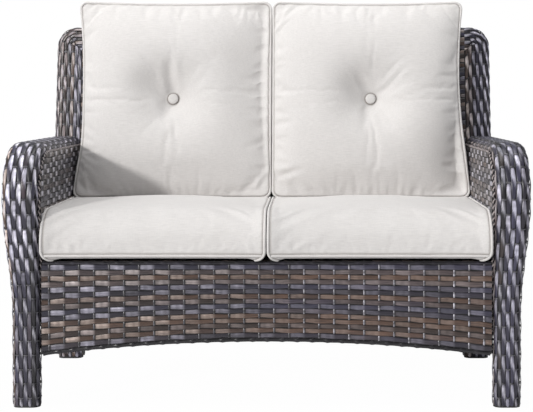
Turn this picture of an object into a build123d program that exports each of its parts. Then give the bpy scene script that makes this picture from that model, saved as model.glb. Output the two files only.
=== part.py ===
from build123d import *
from math import atan, atan2, cos, degrees, radians, sin, sqrt, tan
import os

# A woven patio loveseat with two seat cushions and two back cushions.
# Millimetres, Z up, the front faces -Y, left is -X as seen from the front.
# The origin lies under the middle of the box that holds the whole seat.

# Driving sizes of the frame
leg_half = 631.0  # middle to the outer face of a leg at the floor
leg_wide = 70.0
arm_swell = 18.0  # how far the arm bows out beyond the leg
post_swell = 4.0  # how far the back post stands out beyond the leg
inner_half = leg_half - leg_wide  # middle to the inner face of a leg, an arm or a post
arm_half = leg_half + arm_swell
post_half = leg_half + post_swell
deck_top = 362.0
arm_top = 653.0
band_depth = 46.0  # thickness of every woven band: legs, arms, posts and top rail
band_round = 21.0  # rounding of a band's edges
weave = 3.7  # thickness of a woven skin
gap = 0.3  # clearance between pieces that lie on each other
seat_depth = 563.0  # front of the arms to the face of the back, at the deck
recline = 10.0  # degrees
back_height = 623.0  # along the recline, from the deck to the top rail's top
back_corner = 58.0
rail_height = 70.0
over = 30.0  # overrun of every cut

# Legs and arms, seen from the side
leg_lean = 30.0  # how far the arm's front stands ahead of the foot
lean_low = 230.0
lean_high = 520.0
kick_bend = 200.0  # radius of the bend in the rear leg
kick_high = -78.0  # along the recline, where the rear leg turns back
kick_back = 98.0  # how far the rear foot stands behind that turn
glide_height = 6.0

# Tubes
main_tube = 38.0
side_tube = 20.0
rail_tube = 25.0
rung = 10.0
tube_wall = 1.5
square_tube = 25.0
top_bend = 40.0
stretcher_z = 190.0
end_plate = 4.0
bolt_inset = 70.0
strut_inset = 41.0  # from the inner face of a leg
strut_x = inner_half - strut_inset
rung_shares = (0.25, 0.6, 0.9)
deck_thick = 4.0
glide_inset = 2.0

# Skirts
skirt_low = 131.0
skirt_rise = 33.0
skirt_thick = 6.0
skirt_setback = 40.0
edging_thick = 4.0

# Fasteners
bolt_thread = 8.0
bolt_head = 13.0
bolt_head_height = 5.0
washer_size = 17.0
washer_thick = 1.6
nut_size = 12.0
nut_length = 14.0
thread_play = 0.2
bolt_bore = bolt_thread + 2 * thread_play

# Cushions
cushion_play = 6.0  # between a row's half width and the leg's inner face
cushion_wide = inner_half - cushion_play
cushion_split = 1.7  # between the two cushions of a row
seat_top = 484.0
seat_front = 7.0  # behind the front of the arms
seat_nose = 78.0
seat_crown = 17.0
seat_edge_crown = 0.2
seat_draw = 4.0
nose_seam = 20.0  # degrees below level, where the front seam runs
seat_corner = 14.0
cover_wall = 2.0
core_play = 0.6
piping = 7.0
back_boxing = 110.0
back_crown = 42.0
back_crown_rear = 8.0
back_tall = 532.0
back_round = 30.0
back_turn = 2.6  # degrees, how far the sides turn in from the corners
tuft_reach = 92.0
tuft_depth = 40.0
tuft_rear = 4.0
button_size = 29.0
button_thick = 8.0
rear_button_thick = 3.0
cord_size = 3.0
zip_long = 420.0
zip_wide = 26.0
slider_long = 14.0
slider_wide = 9.0
slider_thick = 2.4
dome_share = 0.75
pull_long = 22.0
pull_thick = 1.0
seat_station_shares = (-1, -0.7, 0, 0.7, 1)
rear_inset = 12.0
crown_run = 235.0
crown_turn_shares = (1, 0.4, -0.4, -1.4, -2.4, -3.2, -3.6)  # of back_turn, from the seam to the top

# Places worked out from the sizes above
half_band = band_depth / 2
lean_angle = radians(recline)
rear_reach = (back_height - band_round) * sin(lean_angle) + (band_depth - band_round) * cos(lean_angle)
front_y = -(seat_depth + rear_reach + band_round) / 2
arm_axis_y = front_y + half_band
foot_y = arm_axis_y + leg_lean
roll = arm_top - half_band - lean_high
lean_tall = lean_high - lean_low
lean_bend = (lean_tall**2 + leg_lean**2) / (4 * leg_lean)
lean_turn = degrees(2 * atan(leg_lean / lean_tall))
lean_steps = 4
foot_z = glide_height + gap
back_y = front_y + seat_depth
main_x = inner_half + weave + gap + main_tube / 2
side_x = leg_half - weave - gap - side_tube / 2
panel_in = inner_half - gap - weave
outer_panel_in = main_x + (side_x - main_x) / 2 + half_band / 2
arm_end_y = back_y + band_depth * 2
back_plane = Plane(
    origin=(0, back_y, deck_top),
    x_dir=(1, 0, 0),
    z_dir=(0, -cos(lean_angle), sin(lean_angle)),
)
mid = -half_band  # depth of the back's tubes behind its face
rail_z = deck_top - deck_thick - gap - square_tube / 2
top_up = back_height - weave - gap - main_tube / 2
middle_up = (top_up + rail_z - deck_top) / 2
side_up = back_height - back_corner
ladder_front = front_y + skirt_setback + skirt_thick + rung
ladder_rear = back_y - square_tube / 2
upright_places = (-cushion_wide / 2, 0, cushion_wide / 2)


def back_point(up, out):
    """The side view's y and z of a place: up along the recline, out in front of the back's face."""
    y = back_y + up * sin(lean_angle) - out * cos(lean_angle)
    z = deck_top + up * cos(lean_angle) + out * sin(lean_angle)
    return (y, z)


kick_y, kick_z = back_point(kick_high, mid)
rear_foot_y = kick_y + kick_back
kick_angle = atan2(kick_back, kick_z)
kick_plane = Plane(
    origin=(0, kick_y, kick_z),
    x_dir=(1, 0, 0),
    z_dir=(0, -cos(kick_angle), -sin(kick_angle)),
)
hands = ((-1, "left"), (1, "right"))
parts = {}


def keep(part, name):
    part.label = name
    parts[name] = part


# Outlines in the side view, where the sketch's x is the seat's y

def arm_line(out, end_y):
    """The leg and arm's middle line, moved outward (to the front and top), open at both ends."""
    first = CenterArc((foot_y - lean_bend, lean_low), lean_bend - out, 0, lean_turn)
    Line((foot_y - out, foot_z - over), first @ 0)
    second = CenterArc((arm_axis_y + lean_bend, lean_high), lean_bend + out, 180, lean_turn)
    CenterArc((arm_axis_y + roll, lean_high), roll + out, 90, 90)
    Line((arm_axis_y + roll, arm_top - half_band + out), (end_y, arm_top - half_band + out))
    return second


def post_points(out, top):
    """Corners of the post and rear leg's middle line, moved outward (to the front)."""
    high = back_point(top, mid + out)
    turn = (lean_angle + kick_angle) / 2
    step = out / cos(turn)
    face = (lean_angle - kick_angle) / 2
    corner = (kick_y - step * cos(face), kick_z + step * sin(face))
    run = (kick_z + over) / cos(kick_angle)
    low = (
        kick_y - out * cos(kick_angle) + run * sin(kick_angle),
        kick_z - out * sin(kick_angle) - run * cos(kick_angle),
    )
    return [high, corner, low]


def post_line(out, top):
    """The same line with its bend, as one path."""
    return FilletPolyline(*post_points(out, top), radius=kick_bend + out)


def skirt_arch(start, end):
    """The arched lower edge of a skirt or side panel."""
    middle = ((start + end) / 2, skirt_low + skirt_rise)
    return ThreePointArc((start, skirt_low), middle, (end, skirt_low))


def band_middle(out_half, skin):
    return (inner_half + out_half) / 2, out_half - inner_half - 2 * skin


# Woven skin round a front leg and its arm: a hollow band whose outer edge bows out above the seat

def band_section(side, out_half, skin):
    """The band's section, drawn in by skin, on a plane whose origin lies on the band's middle line."""
    middle, wide = band_middle(out_half, skin)
    with Locations((side * middle, 0)):
        RectangleRounded(wide, band_depth - 2 * skin, band_round - skin)


def arm_band(side, skin):
    """The band as one solid, drawn in by skin."""
    low = foot_z - (over if skin else 0)
    with BuildPart() as band:
        with BuildSketch(Plane(origin=(0, foot_y, low))):
            band_section(side, leg_half, skin)
        extrude(amount=lean_low - low)
        for step in range(2 * lean_steps + 1):
            upper = step > lean_steps
            angle = radians(lean_turn) * (2 * lean_steps - step if upper else step) / lean_steps
            if upper:
                y = arm_axis_y + lean_bend - lean_bend * cos(angle)
                z = lean_high - lean_bend * sin(angle)
            else:
                y = foot_y - lean_bend + lean_bend * cos(angle)
                z = lean_low + lean_bend * sin(angle)
            height_share = (z - lean_low) / lean_tall
            bow_share = height_share**2 * (3 - 2 * height_share)
            out_half = leg_half + (arm_half - leg_half) * bow_share
            with BuildSketch(Plane(origin=(0, y, z), x_dir=(1, 0, 0), z_dir=(0, -sin(angle), cos(angle)))):
                band_section(side, out_half, skin)
        loft()
        with BuildSketch(Plane(origin=(0, arm_axis_y, lean_high))):
            band_section(side, arm_half, skin)
        revolve(axis=Axis((0, arm_axis_y + roll, lean_high), (-1, 0, 0)), revolution_arc=90)
        level = Plane(origin=(0, arm_axis_y + roll, arm_top - half_band), x_dir=(1, 0, 0), z_dir=(0, 1, 0))
        with BuildSketch(level):
            band_section(side, arm_half, skin)
        extrude(amount=arm_end_y - arm_axis_y - roll)
    return band.part


# Side panels: the inner one shows above the seat, the outer one fills the whole side

for side, hand in hands:
    edge = edging_thick / 2 + gap
    with BuildPart() as inner_panel:
        with BuildSketch(Plane.YZ.offset(side * panel_in)):
            with BuildLine():
                arm_line(-edge, arm_end_y)
                Polyline(
                    (arm_end_y, arm_top - half_band - edge),
                    (arm_end_y, foot_z - over),
                    (foot_y + edge, foot_z - over),
                )
            make_face()
        extrude(amount=side * weave)
        split(bisect_by=back_plane.offset(gap), keep=Keep.TOP)
        split(bisect_by=Plane.XY.offset(deck_top + gap), keep=Keep.TOP)
    keep(inner_panel.part, hand + "_inner_panel")

    edging_x = side * (inner_half - gap - edging_thick / 2)
    with BuildPart() as edging:
        with BuildLine(Plane.YZ.offset(edging_x)) as seam:
            arm_line(0, arm_end_y)
        with BuildSketch(Plane(origin=(edging_x, foot_y, foot_z - over))):
            Circle(edging_thick / 2)
        sweep(path=seam.wire())
        split(bisect_by=back_plane.offset(gap), keep=Keep.TOP)
        split(bisect_by=Plane.XY.offset(foot_z), keep=Keep.TOP)
    keep(edging.part, hand + "_edging")

    clear = half_band + 2 * gap
    with BuildPart() as outer_panel:
        with BuildSketch(Plane.YZ.offset(side * outer_panel_in)):
            with BuildLine():
                arm_line(-clear, arm_end_y)
                Polyline(
                    (arm_end_y, arm_top - half_band - clear),
                    (arm_end_y, foot_z - over),
                    (foot_y + clear, foot_z - over),
                )
            make_face()
            with BuildLine():
                front = post_line(clear, back_height)
                Polyline(
                    front @ 1,
                    (rear_foot_y + seat_depth, foot_z - 2 * over),
                    (rear_foot_y + seat_depth, kick_z),
                    front @ 0,
                )
            make_face(mode=Mode.SUBTRACT)
            with BuildLine():
                arch = skirt_arch(front_y, rear_foot_y)
                Polyline(arch @ 1, (rear_foot_y, foot_z - 2 * over), (front_y, foot_z - 2 * over), arch @ 0)
            make_face(mode=Mode.SUBTRACT)
        extrude(amount=side * weave)
    keep(outer_panel.part, hand + "_outer_panel")


# Posts, rear legs and top rail: the post's section is square inside and round outside

def back_block(side, skin):
    """The upper post beside the top rail, with its rounded outer corner."""
    inner = side * (inner_half + skin)
    outer = side * (post_half - skin)
    top = back_height - skin
    corner = back_corner - skin
    edge_round = band_round - skin
    rim = []
    with BuildPart() as block:
        with BuildSketch(back_plane.offset(-skin)):
            with BuildLine():
                arc = CenterArc((outer - side * corner, top - corner), corner, 90, -90 * side)
                Polyline(arc @ 1, (outer, 0), (inner, 0), (inner, top), arc @ 0)
            make_face()
        extrude(amount=-(band_depth - 2 * skin))
        for face in (back_plane.offset(-skin), back_plane.offset(skin - band_depth)):
            for one in block.edges():
                local = face.to_local_coords(one.center())
                flat = abs(local.Z) < gap
                if flat and side * (local.X - inner) > gap and local.Y > gap:
                    rim.append(one)
        fillet(rim, edge_round)
    return block.part


def rear_leg(side, skin):
    """The post's section carried down round the bend to the floor, drawn in by skin."""
    start = Plane(
        origin=(0, *back_point(0, mid)),
        x_dir=(1, 0, 0),
        z_dir=(0, -sin(lean_angle), -cos(lean_angle)),
    )
    middle, wide = band_middle(post_half, skin)
    with BuildPart() as leg:
        with BuildLine(Plane.YZ) as leg_line:
            post_line(0, 0)
        with BuildSketch(start) as section:
            with Locations((side * middle, 0)):
                Rectangle(wide, band_depth - 2 * skin)
            fillet(section.vertices().group_by(Axis.X)[-1 if side > 0 else 0], band_round - skin)
        sweep(path=leg_line.wire())
        if not skin:
            split(bisect_by=Plane.XY.offset(foot_z), keep=Keep.TOP)
    return leg.part


def rail_block(skin):
    """The top rail between the posts, round above and square below, drawn in by skin."""
    low = back_height - rail_height + skin
    high = back_height - skin
    half = inner_half - gap + (over if skin else 0)
    with BuildPart() as block:
        with BuildSketch(back_plane.offset(-skin)):
            with Locations((0, (low + high) / 2)):
                Rectangle(2 * half, high - low)
        extrude(amount=-(band_depth - 2 * skin))
        fillet(block.edges().filter_by(Axis.X).sort_by(Axis.Z)[-2:], band_round - skin)
    return block.part


def cross_bar(up, size, half):
    """A round bar across the back, at a height along the recline."""
    with BuildPart() as bar:
        y, z = back_point(up, mid)
        with BuildSketch(Plane(origin=(-half, y, z), x_dir=(0, 1, 0), z_dir=(1, 0, 0))):
            Circle(size / 2)
        extrude(amount=2 * half)
    return bar.part


def leg_bar(z, size, half):
    """A round bar between the rear legs."""
    share = (kick_z - z) / kick_z
    y = kick_y + kick_back * share
    with BuildPart() as bar:
        with BuildSketch(Plane(origin=(-half, y, z), x_dir=(0, 1, 0), z_dir=(1, 0, 0))):
            Circle(size / 2)
        extrude(amount=2 * half)
    return bar.part


def side_bar(side, size, start, end):
    """A round bar along the seat, level with the deck's ladder."""
    with BuildPart() as bar:
        with BuildSketch(Plane(origin=(side * main_x, start, rail_z), x_dir=(1, 0, 0), z_dir=(0, 1, 0))):
            Circle(size / 2)
        extrude(amount=end - start)
    return bar.part


def upright(x, size, low, high):
    """A round bar up the back between two cross bars."""
    y, z = back_point(low, mid)
    up_dir = (0, sin(lean_angle), cos(lean_angle))
    with BuildPart() as bar:
        with BuildSketch(Plane(origin=(x, y, z), x_dir=(1, 0, 0), z_dir=up_dir)):
            Circle(size / 2)
        extrude(amount=high - low)
    return bar.part


def bolt_hole(seat, size, reach):
    """A round cutter along a bolt, from its washer's seat inward."""
    with BuildPart() as hole:
        with BuildSketch(seat.offset(over)):
            Circle(size / 2)
        extrude(amount=-(reach + over))
    return hole.part


# Places of the bolts: the plane lies on the washer's seat and faces the bolt's head

arm_up = (arm_top - half_band - deck_top) / cos(lean_angle)
rail_up = (rail_z - deck_top) / cos(lean_angle)
post_reach = band_depth + gap + end_plate + nut_length
rail_reach = square_tube + gap + nut_length
ladder_half = main_x - rail_tube / 2 - gap
post_seats = {}
rail_seats = {}
for side, hand in hands:
    post_seats[hand] = []
    for up in (arm_up, rail_up):
        y, z = back_point(up, -band_depth)
        back = Plane(origin=(side * main_x, y, z), x_dir=(1, 0, 0), z_dir=-back_plane.z_dir)
        post_seats[hand].append(back)
    rail_seats[hand] = []
    for y in (ladder_front + bolt_inset, ladder_rear - bolt_inset):
        start = (side * (ladder_half - square_tube), y, rail_z)
        rail_seats[hand].append(Plane(origin=start, x_dir=(0, 1, 0), z_dir=(-side, 0, 0)))

for side, hand in hands:
    solids = [back_block(side, 0), rear_leg(side, 0)]
    hollows = [back_block(side, weave), rear_leg(side, weave)]
    passages = [cross_bar(up, rail_tube + 2 * gap, inner_half + 2 * weave) for up in (rail_up, middle_up)]
    with BuildPart() as window:
        with BuildSketch(back_plane.offset(mid)):
            with Locations((side * inner_half, top_up - top_bend / 2)):
                Rectangle(2 * (weave + gap), main_tube + 2 * gap + top_bend)
        extrude(amount=main_tube / 2 + gap, both=True)
    passages.append(window.part)
    passages.append(leg_bar(stretcher_z, side_tube + 2 * gap, inner_half + 2 * weave))
    passages += [bolt_hole(seat, bolt_bore, band_depth + over) for seat in post_seats[hand]]
    with BuildPart() as post_wrap:
        add(solids)
        add(hollows, mode=Mode.SUBTRACT)
        add(passages, mode=Mode.SUBTRACT)
    keep(post_wrap.part, hand + "_post_wrap")

outer = rail_block(0)
hollow = rail_block(weave)
passages = [upright(x, side_tube + 2 * gap, rail_up, top_up) for x in upright_places]
with BuildPart() as top_rail_wrap:
    add(outer)
    add(hollow, mode=Mode.SUBTRACT)
    add(passages, mode=Mode.SUBTRACT)
keep(top_rail_wrap.part, "top_rail_wrap")


# Woven skin round each arm, with the passage of the side rail

for side, hand in hands:
    band = arm_band(side, 0)
    hollow = arm_band(side, weave)
    passage = side_bar(side, rail_tube + 2 * gap, foot_y, back_y)
    with BuildPart() as arm_wrap:
        add(band)
        add(hollow, mode=Mode.SUBTRACT)
        add(passage, mode=Mode.SUBTRACT)
        split(bisect_by=back_plane.offset(gap), keep=Keep.TOP)
    keep(arm_wrap.part, hand + "_arm_wrap")


# Woven panels of the back, the deck and the two skirts

panel_low = rail_up - rail_tube / 8
panel_high = back_height - rail_height - gap
for name, out in (("back_front_panel", 0), ("back_rear_panel", weave - band_depth)):
    with BuildPart() as back_panel:
        with BuildSketch(back_plane.offset(out)):
            with Locations((0, (panel_low + panel_high) / 2)):
                Rectangle(2 * (inner_half - gap), panel_high - panel_low)
        extrude(amount=-weave)
    keep(back_panel.part, name)

skirt_y = front_y + skirt_setback
skirt_half = panel_in - gap
with BuildPart() as front_apron:
    with BuildSketch(Plane.XZ.offset(-skirt_y)):
        with BuildLine():
            arch = skirt_arch(-skirt_half, skirt_half)
            Polyline(arch @ 1, (skirt_half, deck_top), (-skirt_half, deck_top), arch @ 0)
        make_face()
    extrude(amount=-skirt_thick)
keep(front_apron.part, "front_apron")

deck_front = skirt_y + skirt_thick + gap
with BuildPart() as seat_deck:
    with BuildSketch(Plane.XY.offset(deck_top)):
        with Locations((0, (deck_front + back_y + over) / 2)):
            Rectangle(2 * (inner_half - 2 * gap), back_y + over - deck_front)
    extrude(amount=-deck_thick)
    split(bisect_by=back_plane.offset(gap), keep=Keep.TOP)
keep(seat_deck.part, "seat_deck")

rear_skirt_low = -(kick_z - skirt_low) / cos(kick_angle)
rear_skirt_high = -kick_bend * tan((lean_angle + kick_angle) / 2)
with BuildPart() as rear_apron:
    with BuildSketch(kick_plane.offset(-side_tube / 2 - gap)):
        half = inner_half - gap
        middle = (0, rear_skirt_low + skirt_rise)
        with BuildLine():
            arch = ThreePointArc((-half, rear_skirt_low), middle, (half, rear_skirt_low))
            Polyline(arch @ 1, (half, rear_skirt_high), (-half, rear_skirt_high), arch @ 0)
        make_face()
    extrude(amount=-weave)
keep(rear_apron.part, "rear_apron")


# Frames of welded tube

def arm_bar(x, size):
    """A round bar along the leg and arm's middle line."""
    with BuildPart() as bar:
        with BuildLine(Plane.YZ.offset(x)) as route:
            arm_line(0, arm_end_y)
        with BuildSketch(Plane(origin=(x, foot_y, foot_z - over))):
            Circle(size / 2)
        sweep(path=route.wire())
    return bar.part


def rung_bar(side, y, z):
    """A short bar from the main tube to the side tube."""
    with BuildPart() as bar:
        with BuildSketch(Plane.YZ.offset(side * main_x)):
            with Locations((y, z)):
                Circle(rung / 2)
        extrude(amount=side * (side_x - main_x))
    return bar.part


for side, hand in hands:
    bars = [
        arm_bar(side * main_x, main_tube),
        arm_bar(side * side_x, side_tube),
        side_bar(side, rail_tube, foot_y, arm_end_y),
    ]
    arm_run = back_y - arm_axis_y - roll
    bars += [rung_bar(side, foot_y, lean_low * share) for share in rung_shares]
    bars += [
        rung_bar(side, arm_axis_y + roll + arm_run * share, arm_top - half_band) for share in rung_shares
    ]
    bores = [
        arm_bar(side * main_x, main_tube - 2 * tube_wall),
        arm_bar(side * side_x, side_tube - 2 * tube_wall),
        side_bar(side, rail_tube - 2 * tube_wall, foot_y + main_tube / 2, arm_end_y),
    ]
    with BuildPart() as plates:
        for up, size in ((arm_up, main_tube), (rail_up, rail_tube)):
            with BuildSketch(back_plane.offset(gap)):
                with Locations((side * main_x, up)):
                    Circle(size / 2 - tube_wall / 2)
            extrude(amount=end_plate)
    holes = [bolt_hole(seat, bolt_bore, post_reach) for seat in post_seats[hand]]
    holes += [bolt_hole(seat, nut_size + 2 * thread_play, rail_reach) for seat in rail_seats[hand]]
    with BuildPart() as arm_frame:
        add(bars)
        add(bores, mode=Mode.SUBTRACT)
        split(bisect_by=back_plane.offset(gap), keep=Keep.TOP)
        add(plates.part)
        split(bisect_by=Plane.XY.offset(foot_z), keep=Keep.TOP)
        add(holes, mode=Mode.SUBTRACT)
    keep(arm_frame.part, hand + "_arm_frame")


def hoop(size):
    """The back's main bar: from one rear foot up, across under the top rail and down again."""
    with BuildLine(back_plane.offset(mid)) as top:
        FilletPolyline(
            (-main_x, 0), (-main_x, top_up), (main_x, top_up), (main_x, 0), radius=top_bend
        )
    with BuildLine(Plane.YZ.offset(-main_x)) as left:
        post_line(0, 0)
    with BuildLine(Plane.YZ.offset(main_x)) as right:
        post_line(0, 0)
    low_y, low_z = post_points(0, 0)[2]
    down = (0, sin(kick_angle), -cos(kick_angle))
    with BuildPart() as bar:
        with BuildSketch(Plane(origin=(-main_x, low_y, low_z), x_dir=(1, 0, 0), z_dir=down)):
            Circle(size / 2)
        sweep(path=Wire(left.edges() + top.edges() + right.edges()))
    return bar.part


def post_bar(side, size):
    """The thin bar beside the main one, in a post and rear leg."""
    start = Plane(
        origin=(side * side_x, *back_point(side_up, mid)),
        x_dir=(1, 0, 0),
        z_dir=(0, -sin(lean_angle), -cos(lean_angle)),
    )
    with BuildPart() as bar:
        with BuildLine(Plane.YZ.offset(side * side_x)) as route:
            post_line(0, side_up)
        with BuildSketch(start):
            Circle(size / 2)
        sweep(path=route.wire())
    return bar.part


thin = side_tube - 2 * tube_wall
inner_run = main_x - main_tube / 2
bars = [hoop(main_tube), post_bar(-1, side_tube), post_bar(1, side_tube)]
bars += [cross_bar(rail_up, rail_tube, main_x), cross_bar(middle_up, rail_tube, main_x)]
bars.append(leg_bar(stretcher_z, side_tube, main_x))
bars += [upright(x, side_tube, rail_up, top_up) for x in upright_places]
for side, hand in hands:
    bars += [rung_bar(side, *back_point(side_up * share, mid)) for share in rung_shares]
bores = [hoop(main_tube - 2 * tube_wall), post_bar(-1, thin), post_bar(1, thin)]
bores += [cross_bar(up, rail_tube - 2 * tube_wall, inner_run) for up in (rail_up, middle_up)]
bores.append(leg_bar(stretcher_z, thin, inner_run))
for side, hand in hands:
    bores += [bolt_hole(seat, bolt_bore, post_reach) for seat in post_seats[hand]]
with BuildPart() as back_frame:
    add(bars)
    add(bores, mode=Mode.SUBTRACT)
    split(bisect_by=Plane.XY.offset(foot_z), keep=Keep.TOP)
keep(back_frame.part, "back_frame")


# The ladder under the deck, with the bowed rod that stiffens the front skirt

def ladder(skin):
    """Square bars as one solid, drawn in by skin."""
    wide = square_tube - 2 * skin
    rail_half = inner_half - 2 * gap + (over if skin else 0)
    middle_y = (ladder_front + ladder_rear) / 2
    run = ladder_rear - ladder_front - 2 * skin
    with BuildPart() as bars:
        with BuildSketch(Plane.XY.offset(rail_z - wide / 2)):
            with Locations((0, ladder_front + square_tube / 2)):
                Rectangle(2 * rail_half, wide)
            with Locations((0, ladder_rear - square_tube / 2)):
                Rectangle(2 * (ladder_half - skin), wide)
            with Locations([(x, middle_y) for x in upright_places]):
                Rectangle(wide, run)
        extrude(amount=wide)
        with BuildSketch(Plane.XY.offset(rail_z - wide / 2)):
            start = ladder_front + square_tube
            for side, hand in hands:
                with Locations((side * (ladder_half - square_tube / 2), (start + ladder_rear) / 2)):
                    Rectangle(wide, ladder_rear - start - 2 * skin)
                with Locations((side * (inner_half - square_tube / 2), start)):
                    Rectangle(wide, 2 * tube_wall)
        extrude(amount=wide)
    return bars.part


ladder_outer = ladder(0)
ladder_inner = ladder(tube_wall)
rod_y = deck_front + rung / 2
with BuildPart() as bow:
    with BuildLine(Plane.XZ.offset(-rod_y)) as arch:
        lift = rung * 1.5
        middle = (0, skirt_low + skirt_rise + lift)
        half = skirt_half - rung / 4
        ThreePointArc((-half, skirt_low + lift), middle, (half, skirt_low + lift))
    start = arch.wire()
    with BuildSketch(Plane(origin=start @ 0, z_dir=start % 0)):
        Circle(rung / 2)
    sweep(path=start)
with BuildPart() as struts:
    with BuildSketch(Plane.XY.offset(skirt_low + lift)):
        with Locations([(x, rod_y) for x in (*upright_places, -strut_x, strut_x)]):
            Circle(rung / 2)
    extrude(amount=rail_z - skirt_low - lift)
with BuildPart() as trim:
    with BuildSketch(Plane.XZ.offset(-rod_y + rung)):
        far = skirt_half + over
        with BuildLine():
            arc = ThreePointArc((-far, skirt_low + lift), middle, (far, skirt_low + lift))
            Polyline(arc @ 1, (far, 0), (-far, 0), arc @ 0)
        make_face()
    extrude(amount=2 * rung, both=True)
holes = []
for side, hand in hands:
    holes += [bolt_hole(seat, bolt_bore, rail_reach) for seat in rail_seats[hand]]
with BuildPart() as seat_frame:
    add(struts.part)
    add(trim.part, mode=Mode.SUBTRACT)
    add(bow.part)
    add(ladder_outer)
    add(ladder_inner, mode=Mode.SUBTRACT)
    add(holes, mode=Mode.SUBTRACT)
keep(seat_frame.part, "seat_frame")


# Fasteners: one node for each kind

seats = [(seat, post_reach) for hand in post_seats for seat in post_seats[hand]]
seats += [(seat, rail_reach) for hand in rail_seats for seat in rail_seats[hand]]
with BuildPart() as frame_washers:
    for seat, reach in seats:
        with BuildSketch(seat):
            Circle(washer_size / 2)
            Circle(bolt_bore / 2, mode=Mode.SUBTRACT)
        extrude(amount=washer_thick)
keep(frame_washers.part, "frame_washers")

with BuildPart() as frame_bolts:
    for seat, reach in seats:
        with BuildSketch(seat.offset(washer_thick)):
            Circle(bolt_head / 2)
        extrude(amount=bolt_head_height)
        with BuildSketch(seat.offset(washer_thick)):
            Circle(bolt_thread / 2)
        extrude(amount=-reach - washer_thick)
        with BuildSketch(seat.offset(washer_thick + bolt_head_height)):
            RegularPolygon(bolt_thread / 3, 6)
        extrude(amount=-bolt_head_height * 2 / 3, mode=Mode.SUBTRACT)
keep(frame_bolts.part, "frame_bolts")

with BuildPart() as frame_nuts:
    for seat, reach in seats:
        with BuildSketch(seat.offset(-reach)):
            Circle(nut_size / 2)
            Circle(bolt_bore / 2, mode=Mode.SUBTRACT)
        extrude(amount=nut_length - gap)
keep(frame_nuts.part, "frame_nuts")


# Feet: a plate with a plug in the main tube

for side, hand in hands:
    plug = main_tube / 2 - tube_wall - gap
    middle, wide = band_middle(leg_half, glide_inset)
    with BuildPart() as front_glide:
        with BuildSketch(Plane.XY):
            with Locations((side * middle, foot_y)):
                RectangleRounded(wide, band_depth - 2 * glide_inset, band_round - glide_inset)
        extrude(amount=glide_height)
        with BuildSketch(Plane.XY.offset(glide_height)):
            with Locations((side * main_x, foot_y)):
                Circle(plug)
        extrude(amount=plug)
    keep(front_glide.part, "front_" + hand + "_glide")

    middle, wide = band_middle(post_half, glide_inset)
    foot_share = glide_height / kick_z
    top_y = rear_foot_y - kick_back * foot_share
    deep = band_depth / cos(kick_angle) - 2 * glide_inset
    down = (0, sin(kick_angle), -cos(kick_angle))
    with BuildPart() as rear_glide:
        with BuildSketch(Plane.XY):
            with Locations((side * middle, top_y)):
                RectangleRounded(wide, deep, band_round - glide_inset)
        extrude(amount=glide_height)
        with BuildSketch(Plane(origin=(side * main_x, top_y, glide_height), x_dir=(1, 0, 0), z_dir=down)):
            Circle(plug)
        extrude(amount=-2 * plug)
    keep(rear_glide.part, "rear_" + hand + "_glide")

# Seat cushions: the top wraps down over the front in one round nose; both side panels are piped

piping_r = piping / 2
seam_out = (piping_r + gap) * cos(radians(45))
row_half = cushion_wide / 2
cap = row_half - piping_r - seam_out
nose_y = front_y + seat_front + piping_r + seat_nose
nose_z = seat_top - seat_nose
seat_rear = back_y - gap - seam_out - piping_r
stand_y = back_point((seat_top - deck_top) / cos(lean_angle), back_boxing + back_crown)[0]


def seat_outline(out, crown, draw):
    """A cushion's side view, moved outward: crown is its rise, draw how far its front is pulled in."""
    low = deck_top + gap + piping - out
    high = seat_top + out
    rear = seat_rear + out
    curve = seat_corner + out
    nose = seat_nose + out
    pulled = nose_y + draw
    tilt = 2 * atan2(2 * crown, stand_y - nose_y)
    top = (pulled - nose * sin(tilt), nose_z + nose * cos(tilt))
    seam = sin(radians(nose_seam))
    fold = (nose_z - low - nose * seam) / (1 - seam)
    rear_arc = CenterArc((rear - curve, high - curve), curve, 0, 90)
    flat = Line(rear_arc @ 1, (stand_y, high))
    if crown:
        ThreePointArc(flat @ 1, ((stand_y + top[0]) / 2, (high + top[1]) / 2 + crown), top)
    else:
        Line(flat @ 1, top)
    nose_turn = 90 - degrees(tilt) + nose_seam
    CenterArc((pulled, nose_z), nose, 90 + degrees(tilt), nose_turn)
    fold_y = pulled - (nose - fold) * cos(radians(nose_seam))
    fold_arc = CenterArc((fold_y, low + fold), fold, 180 + nose_seam, 90 - nose_seam)
    low_arc = CenterArc((rear - curve, low + curve), curve, 270, 90)
    Line(fold_arc @ 1, low_arc @ 0)
    Line(low_arc @ 1, rear_arc @ 0)


def cord_along(edges, radius):
    """A round cord along a chain of edges, swept in two halves."""
    half = len(edges) // 2
    halves = [Wire(edges[:half]), Wire(edges[half:])] if half else [Wire(edges)]
    solids = []
    for route in halves:
        with BuildPart() as cord:
            with BuildSketch(Plane(origin=route @ 0, z_dir=route % 0)):
                Circle(radius)
            sweep(path=route)
        solids.append(cord.part)
    return solids


def seat_block(middle, skin):
    """The crowned cushion as one solid, drawn in by skin."""
    with BuildPart() as block:
        for share in seat_station_shares:
            x = (cap - skin) * share
            fall = 1 - share**2
            with BuildSketch(Plane.YZ.offset(middle + x)):
                with BuildLine():
                    seat_outline(-skin, seat_edge_crown + seat_crown * fall, seat_draw * fall)
                make_face()
        loft()
    return block.part


def slot_block(low, high):
    """A plain box between two corners."""
    with BuildPart() as block:
        with BuildSketch(Plane.XY.offset(low[2])):
            with Locations(((low[0] + high[0]) / 2, (low[1] + high[1]) / 2)):
                Rectangle(high[0] - low[0], high[1] - low[1])
        extrude(amount=high[2] - low[2])
    return block.part


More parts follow.
